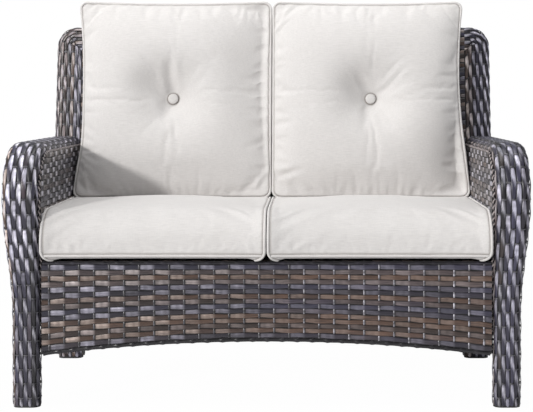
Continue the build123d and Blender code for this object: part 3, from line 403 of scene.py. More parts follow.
class Weave:
    """Strips and stakes on a surface. What is given by name takes the place of the values below."""

    base, amp, crown = 1.5, 1.4, 0.6  # millimetres: middle height, half the wave, bulge
    fill, stake = 0.97, 0.14  # widths of strip and stake as shares of their pitch
    step = 7  # points between two stakes
    lead = 0  # whether even strips start over or under
    pinch = 0.06  # how much narrower a strip is where it dives
    foot = 0.0  # how far strips reach past the start, with rounded ends
    inside = None  # which points lie inside the outline
    tones, mix = None, MIX  # the strips' tones in order, or how often each is drawn
    # Painted light, each a number or a formula of the place along the strips
    dim, shine, spot, stake_light = 1.0, 0.8, 0.0, 1.0  # painted light: brightness, sheen, glints, stakes' brightness
    side, slant = -1, 0.0  # the side of its crest on which a strip's sheen is painted, and that painted sheen's slant

    def __init__(self, sheet, place, rows, cols, **given):
        self.sheet, self.place = sheet, place
        for key, value in given.items():
            setattr(self, key, value)
        for i, start, end in self.stretches(rows, cols, True):
            self.add_strip(i, start - self.foot, end)
        for j, start, end in self.stretches(cols, rows, False):
            self.add_stake(j, start, end)

    def stretches(self, number, total, across):
        """Each strip or stake with the stretches of it that lie inside the outline."""
        for k in range(number):
            if self.inside is None:
                yield k, 0.0, float(total)
                continue
            run = np.linspace(0, total, int(total * 24) + 1)
            hold = np.full_like(run, k + 0.5)
            pts, _ = self.place(hold, run) if across else self.place(run, hold)
            ok = np.concatenate([[False], self.inside(pts), [False]])
            turns = np.flatnonzero(ok[1:] != ok[:-1])
            for start, end in zip(turns[::2], turns[1::2]):
                if run[end - 1] - run[start] > 0.3:
                    yield k, run[start], run[end - 1]

    def add_strip(self, i, start, end):
        b = np.linspace(start, end, max(int((end - start) * self.step), 2) + 1)
        phase = (b + 0.5 + i + self.lead) % 2 - 1
        fall = np.abs(phase)
        height = self.base + self.amp * (1 - 2 * fall * (0.55 + 0.45 * fall))
        wide = self.fill / 2 * (1 + 0.05 * np.sin(b * 2.1 + i * 1.7)) * (1 - self.pinch * fall**3)
        drift = 0.05 * np.sin(b * 1.3 + i * 2.3) + 0.03 * np.sin(b * 3.9 + i)
        if self.foot:
            tip = 1 - np.clip((b - start) / (1.6 * self.foot), 0, 1)
            wide = wide * (0.35 + 0.65 * np.sqrt(1 - tip**2))
            height = height - 2.4 * tip**2
        a = i + 0.5 + drift[:, None] + wide[:, None] * ACROSS
        pts, nor = self.place(a, np.repeat(b[:, None], len(ACROSS), 1))
        rise = height[:, None] + self.crown * LIFT
        uv = texture_places((ACROSS + 1) / 2 + i * 3.7, b * PITCH_MM)
        self.sheet.grid(pts + nor * rise[..., None], uv, self.strip_tone(i, b, phase), nor)

    def strip_tone(self, i, b, phase):
        """Colour of a strip: its tone with patches of another, then painted light: a sheen beside each crest,
        small glints, darker edges and a brightness by place.
        """
        pick = self.tones[i % len(self.tones)] if self.tones else rng.choice(len(TONES), p=self.mix)
        seg = np.floor((b + 0.5 + i + self.lead) / 2).astype(int)
        seg = seg - seg.min()

        def chance(middle, spread, low=-np.inf, high=np.inf):
            """A random value for each stretch between two dives."""
            return np.clip(rng.normal(middle, spread, seg.max() + 3), low, high)[seg]

        vary = chance(0, 1)
        other = TONES[rng.choice(len(TONES), p=self.mix)]
        share = chance(0.1, 0.18, 0, 0.75)[:, None]
        # The painted sheen lies on one side of each crest, with a slanted edge
        lit = (phase * self.side)[:, None] + self.slant * ACROSS
        bright = chance(1.0, 0.3, 0, 1.3) * setting(self.shine, b)
        bright = bright * (0.75 + 0.25 * np.sin(b * 9.1 + i * 2.2) * np.sin(b * 23.0 + i))
        bright = bright * smooth_step((1.0 - np.abs(phase)) / 0.1)
        bright = bright[:, None] * smooth_step((lit + 0.08) / 0.22)
        colour = ((TONES[pick] * (1 - share) + other * share) * (1 + 0.16 * vary)[:, None])[:, None]
        colour = colour + (SHEEN[pick] - colour) * bright[..., None]
        colour = colour * np.broadcast_to(setting(self.dim, b), b.shape)[:, None, None]
        dots = (chance(0.6, 0.45, 0, 1) * self.spot)[:, None] * bell(lit - 0.45, 0.2)
        colour = colour + (GLINT - colour) * dots[..., None]
        tilt = chance(0.25, 0.3, -0.5, 0.8)[:, None]
        across = EDGE_SHADE * (1 - tilt * bright * ACROSS)
        return np.clip(colour * across[..., None], 0.003, 1)

    def add_stake(self, j, start, end):
        a = np.linspace(start, end, max(int((end - start) * 5), 2) + 1)
        wave = -np.cos(pi * (a - 0.5 + j + self.lead))
        height = self.base - 0.15 + 0.85 * self.amp * np.sign(wave) * np.abs(wave) ** 0.7
        pts, nor = self.place(*pair(a[:, None], j + 0.5 + self.stake / 2 * STAKE_ACROSS))
        rise = height[:, None] + self.crown * STAKE_LIFT
        # Painted light on a stake: glints along it, shade across it and a brightness by place
        glint = np.clip(0.75 + 0.5 * np.sin(a * 5.3 + j * 2.1) * np.sin(a * 1.7 + j), 0.3, 1.3)
        colour = STAKE_TONE * (0.75 + 0.15 * rng.normal()) * setting(self.stake_light, j + 0.5)
        colour = colour * glint[:, None, None] * STAKE_SHADE[None, :, None]
        uv = texture_places((STAKE_ACROSS + 1) / 4 + j * 2.9, a * STRIP_MM)
        self.sheet.grid(pts + nor * rise[..., None], uv, np.clip(colour, 0.004, 1), nor)


def lining(sheet, place, rows, cols, depth, na, nb):
    """A dark layer under a weave: painted shade that shows through its gaps."""
    a, b = np.meshgrid(np.linspace(0, rows, na), np.linspace(0, cols, nb), indexing="ij")
    pts, nor = place(a, b)
    sheet.grid(pts - nor * depth, np.stack([a, b * 0.03], -1), SHADOW, nor)


def end_cap(sheet, place, rows, count):
    """The dark edge that turns in where a band of weave ends above its foot."""
    a, depth = np.meshgrid(np.linspace(0, rows, count), np.array([3.0, 6.0, 12.0]), indexing="ij")
    pts, nor = place(a, np.zeros_like(a))
    cap = pts - nor * depth[..., None]
    sheet.grid(cap, np.stack([a, depth / 100], -1), NIGHT, spread_over((0.0, 0.0, -1.0), cap))


def hem_roll(sheet, path, nor, radius, tone):
    """A strip wound round an edge: a bar with oblique wraps."""
    run = line_length(path)
    s = np.linspace(0, run[-1], int(run[-1] / 2.2))
    mid = along_line(path, run, s)
    ahead = np.gradient(mid, axis=0)
    ahead /= np.linalg.norm(ahead, axis=1)[:, None]
    side = np.cross(ahead, spread_over(nor, mid))
    side /= np.linalg.norm(side, axis=1)[:, None]
    turns = circle(12)
    wrap = np.abs(np.cos(s / STAKE_PITCH * pi))[:, None] ** 10
    lobe = 0.86 + 0.2 * wrap + 0.03 * np.sin(s / 7.0)[:, None]
    ring = rings(np.cross(side, ahead), side, turns)
    streak = 0.85 + 0.35 * np.sin(turns * 3 + 1.0) + 0.5 * wrap
    shade = np.clip(streak, 0.4, 1.8) * (0.8 + 0.25 * np.sin(s / 41.0))[:, None]
    pts = mid[:, None] + ring * (radius * lobe)[..., None]
    sheet.grid(pts, texture_places(turns / 6, s), tone * shade[..., None], ring, closed=True)


def arch_z(x, left, right, low, rise):
    """Height of the arched edge through two ends and a raised middle."""
    half = (right - left) / 2
    r = (half**2 + rise**2) / (2 * rise)
    return low + rise - r + np.sqrt(np.maximum(r**2 - (x - (left + right) / 2) ** 2, 0))


# Skirts

SKIRT_HALF = PANEL_IN - GAP
SKIRT_ROWS, SKIRT_COLS, REAR_ROWS = 15, 30, 8
STAKE_PITCH = 2 * SKIRT_HALF / SKIRT_COLS
SKIRT_Y = FRONT_Y + SETBACK
HEM, HEM_DROP, HEM_END, PANEL_LIFT = 9.0, 2.0, 3.0, 3.0
FRONT_HEM_R, TOP_HEM_R, REAR_HEM_R, PANEL_HEM_R = 6.4, 4.4, 5.0, 4.6
ROW_TONES = [3, 4, 0, 4, 3, 2, 0, 1, 3, 2, 0, 0, 1, 0, 2]


def skirt_edge(x, lift):
    """Height of the front skirt's lower edge, which hangs a little below the arch towards its ends."""
    arch = arch_z(x, -SKIRT_HALF, SKIRT_HALF, SKIRT_LOW, SKIRT_RISE)
    return arch + lift - HEM_DROP * (np.abs(x) / SKIRT_HALF) ** 4


def front_apron():
    top = DECK - 8.0
    s = Sheet()

    def face(y, out_y):
        def place(a, b):
            a, b = pair(a, b)
            x = -SKIRT_HALF + 2 * SKIRT_HALF * b / SKIRT_COLS
            pts = np.stack([x, np.full_like(x, y), top - (top - skirt_edge(x, HEM)) * a / SKIRT_ROWS], -1)
            return pts, spread_over((0.0, out_y, 0.0), pts)
        return place

    # Painted light on the front face: from left to right the strips grow brighter, their sheen fades and the
    # stakes grow paler
    Weave(s, face(SKIRT_Y, -1.0), SKIRT_ROWS, SKIRT_COLS, tones=ROW_TONES, lead=1,
          dim=lambda b: 0.9 + 0.35 * smooth_step((b - 8) / 10),
          shine=lambda b: 1.0 - 0.8 * smooth_step((b - 2) / 16),
          stake_light=lambda b: 0.7 + 1.6 * smooth_step((b - 12) / 12))
    Weave(s, face(SKIRT_Y + SKIRT_THICK, 1.0), SKIRT_ROWS, SKIRT_COLS, tones=ROW_TONES, step=4)
    for count, y, height, radius, tone in (
            (160, SKIRT_Y + SKIRT_THICK / 2, lambda x: skirt_edge(x, 4.0), FRONT_HEM_R, NIGHT),
            (50, SKIRT_Y + 2.0, lambda x: np.full_like(x, DECK - 4.5), TOP_HEM_R, DUSK)):
        x = np.linspace(-SKIRT_HALF + HEM_END, SKIRT_HALF - HEM_END, count)
        hem_roll(s, np.stack([x, np.full_like(x, y), height(x)], -1), (0, 0, 1), radius, tone)
    settle(s.build("front_apron_weave", WICKER), "frame", "wicker")


def rear_apron():
    down = np.array([0.0, sin(KICK_ANGLE), -cos(KICK_ANGLE)])
    out = np.array([0.0, cos(KICK_ANGLE), sin(KICK_ANGLE)])
    low = (KICK_Z - SKIRT_LOW) / cos(KICK_ANGLE)
    high = KICK_BEND * tan((LEAN + KICK_ANGLE) / 2) + 4
    half = INNER - GAP

    def points(x, run, depth):
        pts = np.array([0.0, KICK_Y, KICK_Z]) + out * depth + down * run[..., None]
        pts[..., 0] = x
        return pts

    for name, depth, sign in (("rear_apron_weave", 14.0, 1.0), ("rear_apron_lining", 10.3, -1.0)):
        def place(a, b):
            a, b = pair(a, b)
            x = -half + 2 * half * b / SKIRT_COLS
            edge = low - arch_z(x, -half, half, 0.0, SKIRT_RISE) - HEM
            pts = points(x, high + (edge - high) * a / REAR_ROWS, depth)
            return pts, spread_over(out * sign, pts)

        s = Sheet()
        Weave(s, place, REAR_ROWS, SKIRT_COLS, step=5)
        if sign > 0:
            x = np.linspace(-half + HEM_END, half - HEM_END, 120)
            hem = points(x, low - arch_z(x, -half, half, 0.0, SKIRT_RISE) - 4, 12.0)
            hem_roll(s, hem, out, REAR_HEM_R, NIGHT)
        settle(s.build(name, WICKER), "frame", "wicker")


# Leg and arm bands

ARM_TOTAL = LEAN_LOW - FOOT + 2 * BEND * TURN + ROLL * pi / 2
ARM_END_Y = back_point((ARM_TOP - HALF - DECK) / cos(LEAN), 0)[0]
ARM_LENGTH = ARM_TOTAL + ARM_END_Y - (AXIS_Y + ROLL) + 3.0
ARM_ROWS, ARM_COLS, BAND_DEPTH = 18, 33, 3.0
BAND_STYLE = {"base": -1.1, "amp": 1.8, "fill": 0.99, "side": 1, "pinch": 0.3, "foot": 0.13, "stake": 0.11,
              "mix": COOL}


def arm_path(s):
    """Side view of the leg and arm's middle line by length: y, z and the direction's angle from up."""
    s = np.asarray(s, dtype=float)
    straight, bend = LEAN_LOW - FOOT, BEND * TURN
    first = np.clip((s - straight) / BEND, 0, TURN)
    second = np.clip((s - straight - bend) / BEND, 0, TURN)
    roll = np.clip((s - straight - 2 * bend) / ROLL, 0, pi / 2)
    y = FOOT_Y - BEND + BEND * np.cos(first)
    z = FOOT + np.minimum(s, straight) + BEND * np.sin(first)
    y = np.where(s > straight + bend, AXIS_Y + BEND - BEND * np.cos(TURN - second), y)
    z = np.where(s > straight + bend, LEAN_HIGH - BEND * np.sin(TURN - second), z)
    top = s > straight + 2 * bend
    y = np.where(top, AXIS_Y + ROLL - ROLL * np.cos(roll), y)
    z = np.where(top, LEAN_HIGH + ROLL * np.sin(roll), z)
    return y + np.maximum(s - ARM_TOTAL, 0), z, -first + second + roll


def rounded(run, sides):
    """Place and turn along straight sides with round corners, which starts upward and turns right."""
    ways = ((0, 1), (1, 0), (0, -1), (-1, 0), (0, 1), (1, 0))
    x = up = turn = start = 0.0
    for length, (ax, ay), (bx, by) in zip(sides, ways, ways[1:]):
        straight = np.clip(run - start, 0, length)
        corner = np.clip((run - start - length) / ROUND, 0, pi / 2)
        x = x + ax * straight + ROUND * (ax * np.sin(corner) + bx * (1 - np.cos(corner)))
        up = up + ay * straight + ROUND * (ay * np.sin(corner) + by * (1 - np.cos(corner)))
        turn = turn + corner
        start = start + length + ROUND * pi / 2
    return x, up, turn


def arm_place(side):
    def place(a, b):
        a, b = pair(a, b)
        y, z, lean = arm_path(b / ARM_COLS * ARM_LENGTH)
        wide = LEG + (ARM - LEG) * smooth_step((z - LEAN_LOW) / TALL) - INNER
        flat, deep = wide - 2 * ROUND, 2 * (HALF - ROUND)
        total = 2 * (flat + deep) + 2 * pi * ROUND
        x, n, turn = rounded(a / ARM_ROWS % 1.0 * total, (deep / 2, flat, deep, flat, deep / 2))
        pts = np.stack([side * (INNER + x), y - n * np.cos(lean), z + n * np.sin(lean)], -1)
        nn = np.sin(turn)
        return pts, np.stack([-side * np.cos(turn), -nn * np.cos(lean), nn * np.sin(lean)], -1)
    return place


def arms():
    for side, hand in ((-1, "left"), (1, "right")):
        # Painted sheen and glints: stronger on the left arm, which faces the light
        lit, low, spot = (1.9, 0.12, 0.6) if side < 0 else (1.25, 0.6, 0.4)

        def gloss(b):
            """How much sheen is painted: most on the bow of the arm, which catches most light, little on the
            leg.
            """
            return lit * (low + (1 - low) * smooth_step((b - 8) / 3.5))

        place = arm_place(side)
        s = Sheet()
        Weave(s, place, ARM_ROWS, ARM_COLS, crown=0.9, lead=(side + 1) // 2, shine=gloss, spot=spot,
              slant=0.4 * side, **BAND_STYLE)
        lining(s, place, ARM_ROWS, ARM_COLS, BAND_DEPTH, 70, 150)
        end_cap(s, place, ARM_ROWS, 60)
        settle(s.build(hand + "_arm_weave", WICKER), "frame", "wicker", hand + "_arm_wrap")
        edging(side, hand)


def edging(side, hand):
    """The two-ply cord along the seam of arm and inner panel."""
    ply_r, lay, off = 1.8, 15.0, 2.2
    s = Sheet()
    run = np.arange(SKIRT_LOW - FOOT, ARM_LENGTH - 5, 1.6)
    y, z, lean = arm_path(run)
    up = np.stack([0 * y, -np.cos(lean), np.sin(lean)], -1)
    across = spread_over((float(side), 0, 0), up)
    mid = np.stack([np.full_like(y, side * (INNER - GAP - off)), y, z], -1)
    turns = circle(8)
    ring = rings(up, across, turns)
    for ply, tone in enumerate((PALE, NIGHT)):
        g = run / lay * 2 * pi + ply * pi
        line = mid + ply_r * (up * np.cos(g)[:, None] + across * np.sin(g)[:, None])
        s.grid(line[:, None] + ring * ply_r, texture_places(turns / 6, run), tone, ring, closed=True)
    settle(s.build(hand + "_edging_cord", WICKER), "frame", "wicker", hand + "_edging")


# Posts, rear legs and top rail

def leg_path(down):
    """Side view of the rear leg's middle line below the post, by length down: y, z, angle of the way down."""
    turn = LEAN + KICK_ANGLE
    straight = -KICK_HIGH - KICK_BEND * tan(turn / 2)
    y, z = back_point(0, -HALF)
    way = np.clip((down - straight) / KICK_BEND, 0, turn) - LEAN
    first = np.clip(down, 0, straight)
    rest = np.maximum(down - straight - KICK_BEND * turn, 0)
    y = y - first * sin(LEAN) + KICK_BEND * (cos(LEAN) - np.cos(way)) + rest * sin(KICK_ANGLE)
    z = z - first * cos(LEAN) - KICK_BEND * (np.sin(way) + sin(LEAN)) - rest * cos(KICK_ANGLE)
    return y, z, way


def leg_length():
    run = np.linspace(200, 500, 3001)
    return float(run[np.argmin(np.abs(leg_path(run)[1] - FOOT))])


LEG_DOWN = leg_length()
LEG_CUT, POST_TUCK = 80, 16.0
POST_LONG = SIDE_UP + CORNER * pi / 2 + POST_TUCK
POST_ROWS, POST_COLS, RAIL_ROWS, RAIL_COLS, LEG_ROWS, LEG_COLS = 17, 29, 13, 30, 4, 10


def post_frame(d, n, s, nd, nn, side):
    """Point and normal: d in from the outline, n in front of the middle, s up from the deck's height."""
    y, z, way = leg_path(np.maximum(-s, 0))
    fy, fz = -np.cos(way), -np.sin(way)
    level = n * fz * np.clip(1 - (LEG_DOWN + s) / LEG_CUT, 0, 1)
    low_pts = np.stack([side * (POST - d), y + n * fy + level * tan(KICK_ANGLE), z + n * fz - level], -1)
    low_nor = np.stack([side * nd, nn * fy, nn * fz], -1)
    bend = np.clip((s - SIDE_UP) / CORNER, 0, pi / 2)
    rho = np.maximum(CORNER - d, 0)
    x = POST - np.maximum(d, CORNER) + rho * np.cos(bend)
    x = x + (INNER - x) * np.clip((s - POST_LONG + POST_TUCK) / POST_TUCK, 0, 1)
    up = np.clip(s / SIDE_UP, 0, 1) * (BACK_H - np.maximum(d, CORNER)) + rho * np.sin(bend)
    high_pts = np.stack([side * x, *back_point(up, n - HALF)], -1)
    rise = nd * np.sin(bend)
    high_nor = np.stack([side * nd * np.cos(bend), rise * sin(LEAN) - nn * cos(LEAN),
                         rise * cos(LEAN) + nn * sin(LEAN)], -1)
    low = (s < 0)[..., None]
    return np.where(low, low_pts, high_pts), np.where(low, low_nor, high_nor)


def rim(t, depth):
    """d, n and normal across the open section: front face, round edge, rear face."""
    sides = (depth - ROUND, 2 * (HALF - ROUND), depth - ROUND)
    n, d, turn = rounded(np.clip(t, 0, 1) * (sum(sides) + pi * ROUND), sides)
    return depth - d, HALF - n, np.sin(turn), np.cos(turn)


def post_place(side):
    def place(a, b):
        a, b = pair(a, b)
        d, n, nd, nn = rim(a / POST_ROWS, POST_WIDE)
        return post_frame(d, n, -LEG_DOWN + (POST_LONG + LEG_DOWN) * b / POST_COLS, nd, nn, side)
    return place


def rail_place(a, b):
    a, b = pair(a, b)
    d, n, nd, nn = rim(a / RAIL_ROWS, RAIL)
    x = -INNER + 2 * INNER * b / RAIL_COLS
    nor = np.stack([0 * x, nd * sin(LEAN) - nn * cos(LEAN), nd * cos(LEAN) + nn * sin(LEAN)], -1)
    return np.stack([x, *back_point(BACK_H - d, n - HALF)], -1), nor


def post_inside(sheet, side):
    """The plain inner face of a post, and the woven inner face of its leg."""
    b, n = np.meshgrid(np.linspace(-LEG_DOWN, BACK_H - RAIL, 60), np.linspace(HALF - 1, 1 - HALF, 8),
                       indexing="ij")
    pts, _ = post_frame(np.full_like(b, POST_WIDE - 0.5), n, np.minimum(b, SIDE_UP), 0 * b, 0 * b, side)
    sheet.grid(pts, np.stack([n / 12, b / 1000], -1), NIGHT, spread_over((-float(side), 0, 0), pts))


def leg_inside(side):
    below = 20

    def place(a, b):
        a, b = pair(a, b)
        n = (HALF - 2) * (1 - 2 * a / LEG_ROWS)
        down = below + (LEG_DOWN - below) * b / LEG_COLS
        pts, _ = post_frame(np.full_like(n, POST_WIDE), n, -down, 0 * n, 0 * n, side)
        return pts, spread_over((-float(side), 0, 0), pts)
    return place


def posts():
    for side, hand in ((-1, "left"), (1, "right")):
        place = post_place(side)
        s = Sheet()
        # Painted sheen and glints on the posts, stronger on the right one; a weaker painted sheen on the
        # legs' inner faces
        Weave(s, place, POST_ROWS, POST_COLS, crown=0.8, shine=0.9 if side < 0 else 1.8, spot=0.5,
              slant=0.4 * side, **BAND_STYLE)
        lining(s, place, POST_ROWS, POST_COLS, BAND_DEPTH, 50, 120)
        post_inside(s, side)
        end_cap(s, place, POST_ROWS, 40)
        Weave(s, leg_inside(side), LEG_ROWS, LEG_COLS, base=0.2, amp=1.2, shine=0.5)
        settle(s.build(hand + "_post_weave", WICKER), "frame", "wicker", hand + "_post_wrap")
    s = Sheet()
    # A weaker painted sheen on the top rail
    Weave(s, rail_place, RAIL_ROWS, RAIL_COLS, base=-1.1, amp=1.8, crown=0.8, fill=0.98, shine=0.6, mix=COOL)
    lining(s, rail_place, RAIL_ROWS, RAIL_COLS, BAND_DEPTH, 40, 60)
    settle(s.build("top_rail_weave", WICKER), "frame", "wicker", "top_rail_wrap")


# Panels, faces of the back and deck

def flat_place(origin, along, down, out, width, height, rows, cols):
    """place() for a plane: b runs along, a runs down."""
    origin, along, down = (np.array(v, dtype=float) for v in (origin, along, down))

    def place(a, b):
        a, b = pair(a, b)
        pts = origin + along * (b / cols * width)[..., None] + down * (a / rows * height)[..., None]
        return pts, spread_over(out, pts)
    return place


def panel_edge(y):
    """Height of an outer side panel's arched lower edge."""
    return arch_z(y, FRONT_Y, KICK_FOOT_Y, SKIRT_LOW, SKIRT_RISE) + PANEL_LIFT


def side_outline(kind, edge, top):
    """Which points of a side panel's plane lie inside it: below the arm, behind the leg, before the post."""
    y, z, lean = arm_path(np.linspace(0, ARM_LENGTH + 60, 1500))
    front_y, front_z = y + edge * np.cos(lean), z - edge * np.sin(lean)
    peak = np.argmax(front_z)
    order = np.argsort(front_z[:peak])
    front_y, front_z = front_y[:peak][order], front_z[:peak][order]
    y, z, way = leg_path(np.linspace(0, LEG_DOWN, 400))
    rear_y, rear_z = y - edge * np.cos(way), z - edge * np.sin(way)

    def inside(pts):
        y, z = pts[..., 1], pts[..., 2]
        ok = (z < top) & (y > np.interp(z, front_z, front_y))
        back = BACK_Y + (z - DECK) * tan(LEAN)
        if kind == "inner":
            return ok & (z > DECK + 0.5) & (y < back - 0.5)
        limit = np.where(z > DECK, back - 0.6, np.interp(z, rear_z[::-1], rear_y[::-1]))
        return ok & (y < limit) & (z > panel_edge(y))
    return inside


def panels():
    for side, hand in ((-1, "left"), (1, "right")):
        for kind, edge, x, out, low, rear in (
                ("inner", 2.6, PANEL_IN, -side, DECK + 0.5, BACK_Y + 70),
                ("outer", HALF + 1.0, OUTER_IN + WEAVE, side, SKIRT_LOW, KICK_FOOT_Y)):
            top, front = ARM_TOP - HALF - edge, FRONT_Y + 10
            rows, cols = int((top - low) / STRIP_MM), int((rear - front) / PITCH_MM)
            place = flat_place((side * x, front, top), (0, 1, 0), (0, 0, -1), (out, 0, 0), rear - front,
                               top - low, rows, cols)
            s = Sheet()
            # Painted light on the side panels: a faint sheen, many glints and an overall painted shade
            Weave(s, place, rows, cols, inside=side_outline(kind, edge, top), base=1.3, amp=1.2, shine=0.3,
                  spot=0.8, dim=0.7)
            if kind == "outer":
                y = np.linspace(FRONT_Y + 60, KICK_FOOT_Y - 30, 100)
                hem = np.stack([np.full_like(y, side * (x - 1.8)), y, panel_edge(y)], -1)
                hem_roll(s, hem, (0, 0, 1), PANEL_HEM_R, NIGHT)
            settle(s.build(f"{hand}_{kind}_weave", WICKER), "frame", "wicker")


def back_faces():
    low, high, half, cols = RAIL_UP - 3.1, BACK_H - RAIL - GAP, INNER - 2, 30
    rows = int((high - low) / STRIP_MM)
    for name, out, sign, step, base, amp in (("back_front_weave", 0.0, 1.0, 4, 0.3, 1.0),
                                             ("back_rear_weave", -BAND, -1.0, 5, 0.7, 1.7)):
        def place(a, b):
            a, b = pair(a, b)
            y, z = back_point(high - (high - low) * a / rows, out)
            pts = np.stack([-half + 2 * half * b / cols, y, z], -1)
            return pts, spread_over((0.0, -cos(LEAN) * sign, sin(LEAN) * sign), pts)

        s = Sheet()
        # A weaker painted sheen on both faces of the back
        Weave(s, place, rows, cols, step=step, base=base, amp=amp, shine=0.6)
        settle(s.build(name, WICKER), "frame", "wicker")


def deck():
    front, rear, half, cols = SKIRT_Y + SKIRT_THICK + 2, BACK_Y - 2, INNER - 3, 30
    rows = int((rear - front) / STRIP_MM)
    s = Sheet()
    for z, out, base, amp in ((DECK, 1.0, -0.3, 0.6), (DECK - DECK_THICK, -1.0, 0.5, 1.0)):
        place = flat_place((-half, front, z), (1, 0, 0), (0, 1, 0), (0, 0, out), 2 * half, rear - front, rows,
                           cols)
        Weave(s, place, rows, cols, step=4, base=base, amp=amp, crown=0.3)
    settle(s.build("deck_weave", WICKER), "frame", "wicker")


# Outlines and seams of the cushions

SEAM_STEP = 3.0
# How far a back cushion's outer side is drawn in, from its foot to its top, in even steps
DRAWN = {"left": (0, 5, 15, 17, 16, 16, 15, 12, 6), "right": (0, 3, 8, 15, 19, 21, 20, 18, 13)}
STRAIGHTEN, SIDE_REACH, SEAT_REACH = 6.0, 130, 90


def arc_points(x, y, r, start, turn, count):
    """Points on an arc, from a start angle through a turn in degrees."""
    a = np.radians(np.linspace(start, start + turn, count))
    return np.stack([x + r * np.cos(a), y + r * np.sin(a)], -1)


def even_loop(parts):
    """One closed line of evenly spaced points through the parts of an outline."""
    points = np.concatenate(parts)
    points = np.concatenate([points, points[:1]])
    apart = np.linalg.norm(np.diff(points, axis=0), axis=1) > 1e-6
    points = points[np.concatenate([[True], apart])]
    run = line_length(points)
    places = np.linspace(0, run[-1], int(run[-1] / SEAM_STEP) + 1)
    return along_line(points, run, places)[:-1]


def seat_loop(out):
    """The flat-topped side outline of a seat cushion, moved outward."""
    low, high, rear = DECK + GAP + SEAT_LIFT - out, SEAT_TOP + out, SEAT_REAR + out
    curve, nose = SEAT_CORNER + out, NOSE + out
    seam = sin(radians(SEAM_TURN))
    fold = (NOSE_Z - low - nose * seam) / (1 - seam)
    fold_y = NOSE_Y - (nose - fold) * cos(radians(SEAM_TURN))
    return even_loop([
        arc_points(rear - curve, high - curve, curve, 0, 90, 8),
        np.array([[NOSE_Y, high]]),
        arc_points(NOSE_Y, NOSE_Z, nose, 90, 90 + SEAM_TURN, 40),
        arc_points(fold_y, low + fold, fold, 180 + SEAM_TURN, 90 - SEAM_TURN, 12),
        arc_points(rear - curve, low + curve, curve, 270, 90, 8),
    ])


def pillow_loop(inset, depth, turn):
    """A back cushion's outline about its middle, at a depth: x and height along the recline."""
    low, high, r = low_up(depth) + inset, HIGH_UP - inset, BACK_ROUND
    right, top, foot = CAP - inset - r, high - r, low + r
    reach, dip, bow = r * cos(radians(turn)), r * sin(radians(turn)), tan(radians(turn / 2))
    side_half = (top - foot) / 2 - dip

    def through(p, q, m):
        """Points on a shallow bow from p by m to q."""
        u = np.linspace(0, 1, 60)
        return p + (q - p) * u[:, None] + (np.array(m) - (p + q) / 2) * (4 * u * (1 - u))[:, None]

    first = arc_points(right, top, r, -turn, 90 + 2 * turn, 14)
    second = arc_points(-right, top, r, 90 - turn, 90 + 2 * turn, 14)
    third = arc_points(-right, foot, r, 180 - turn, 90 + turn, 14)
    fourth = arc_points(right, foot, r, 270, 90 + turn, 14)
    side, middle = right + reach - side_half * bow, (top + foot) / 2
    return even_loop([
        first, through(first[-1], second[0], (0, top + reach - (right - dip) * bow)),
        second, through(second[-1], third[0], (-side, middle)),
        third,
        fourth, through(fourth[-1], first[0], (side, middle)),
    ])


def tucked(z):
    """How far the ends of a seat cushion are drawn in near its foot, for rounded lower corners."""
    low = SEAT_ROUND - np.clip(z - DECK - GAP - SEAT_LIFT + SEAM_OUT, 0, SEAT_ROUND)
    return SEAT_ROUND - np.sqrt(SEAT_ROUND**2 - low**2)


def seat_seams(middle):
    """The seams of a seat cushion, each with whether it is closed: round both ends and across the front."""
    loop = seat_loop(SEAM_OUT)
    end = CAP + SEAM_OUT - tucked(loop[:, 1])
    lines = [(np.column_stack([middle + sign * end, loop]), True) for sign in (-1, 1)]
    reach = NOSE + PIPE * 0.6
    z = NOSE_Z - reach * sin(radians(SEAM_TURN))
    half = CAP + SEAM_OUT - PIPE - tucked(z)
    x = np.linspace(-half, half, 180)
    y = NOSE_Y - reach * cos(radians(SEAM_TURN)) + DRAW * (1 - (x / (CAP + SEAM_OUT)) ** 2)
    return lines + [(np.column_stack([middle + x, y, np.full_like(x, z)]), False)]


def side_shift(p, up, side, hand):
    """How far a place on a back cushion moves along x: outer side drawn in, inner side made straight."""
    share = np.clip((up - LOW_UP) / (HIGH_UP - LOW_UP), 0, 1)
    places = np.linspace(-0.1, 1.1, 241)
    table = np.interp(places, np.linspace(0, 1, len(DRAWN[hand])), DRAWN[hand])
    soften = np.hanning(41)
    outer = -np.interp(share, places, np.convolve(table, soften / soften.sum(), "same"))
    amount = np.where(p * side < 0, STRAIGHTEN * np.sin(pi * share), outer)
    return np.sign(p) * amount * smooth_step((np.abs(p) - CAP + SIDE_REACH) / SIDE_REACH)


def back_seams(middle, side, hand):
    lines = []
    for depth in (REAR_SEAM - SEAM_OUT, FRONT_SEAM + SEAM_OUT):
        loop = pillow_loop(-SEAM_OUT, depth, BACK_TURN)
        loop[:, 0] += side_shift(loop[:, 0], loop[:, 1], side, hand)
        lines.append((np.column_stack([middle + loop[:, 0], *back_point(loop[:, 1], depth)]), True))
    return lines


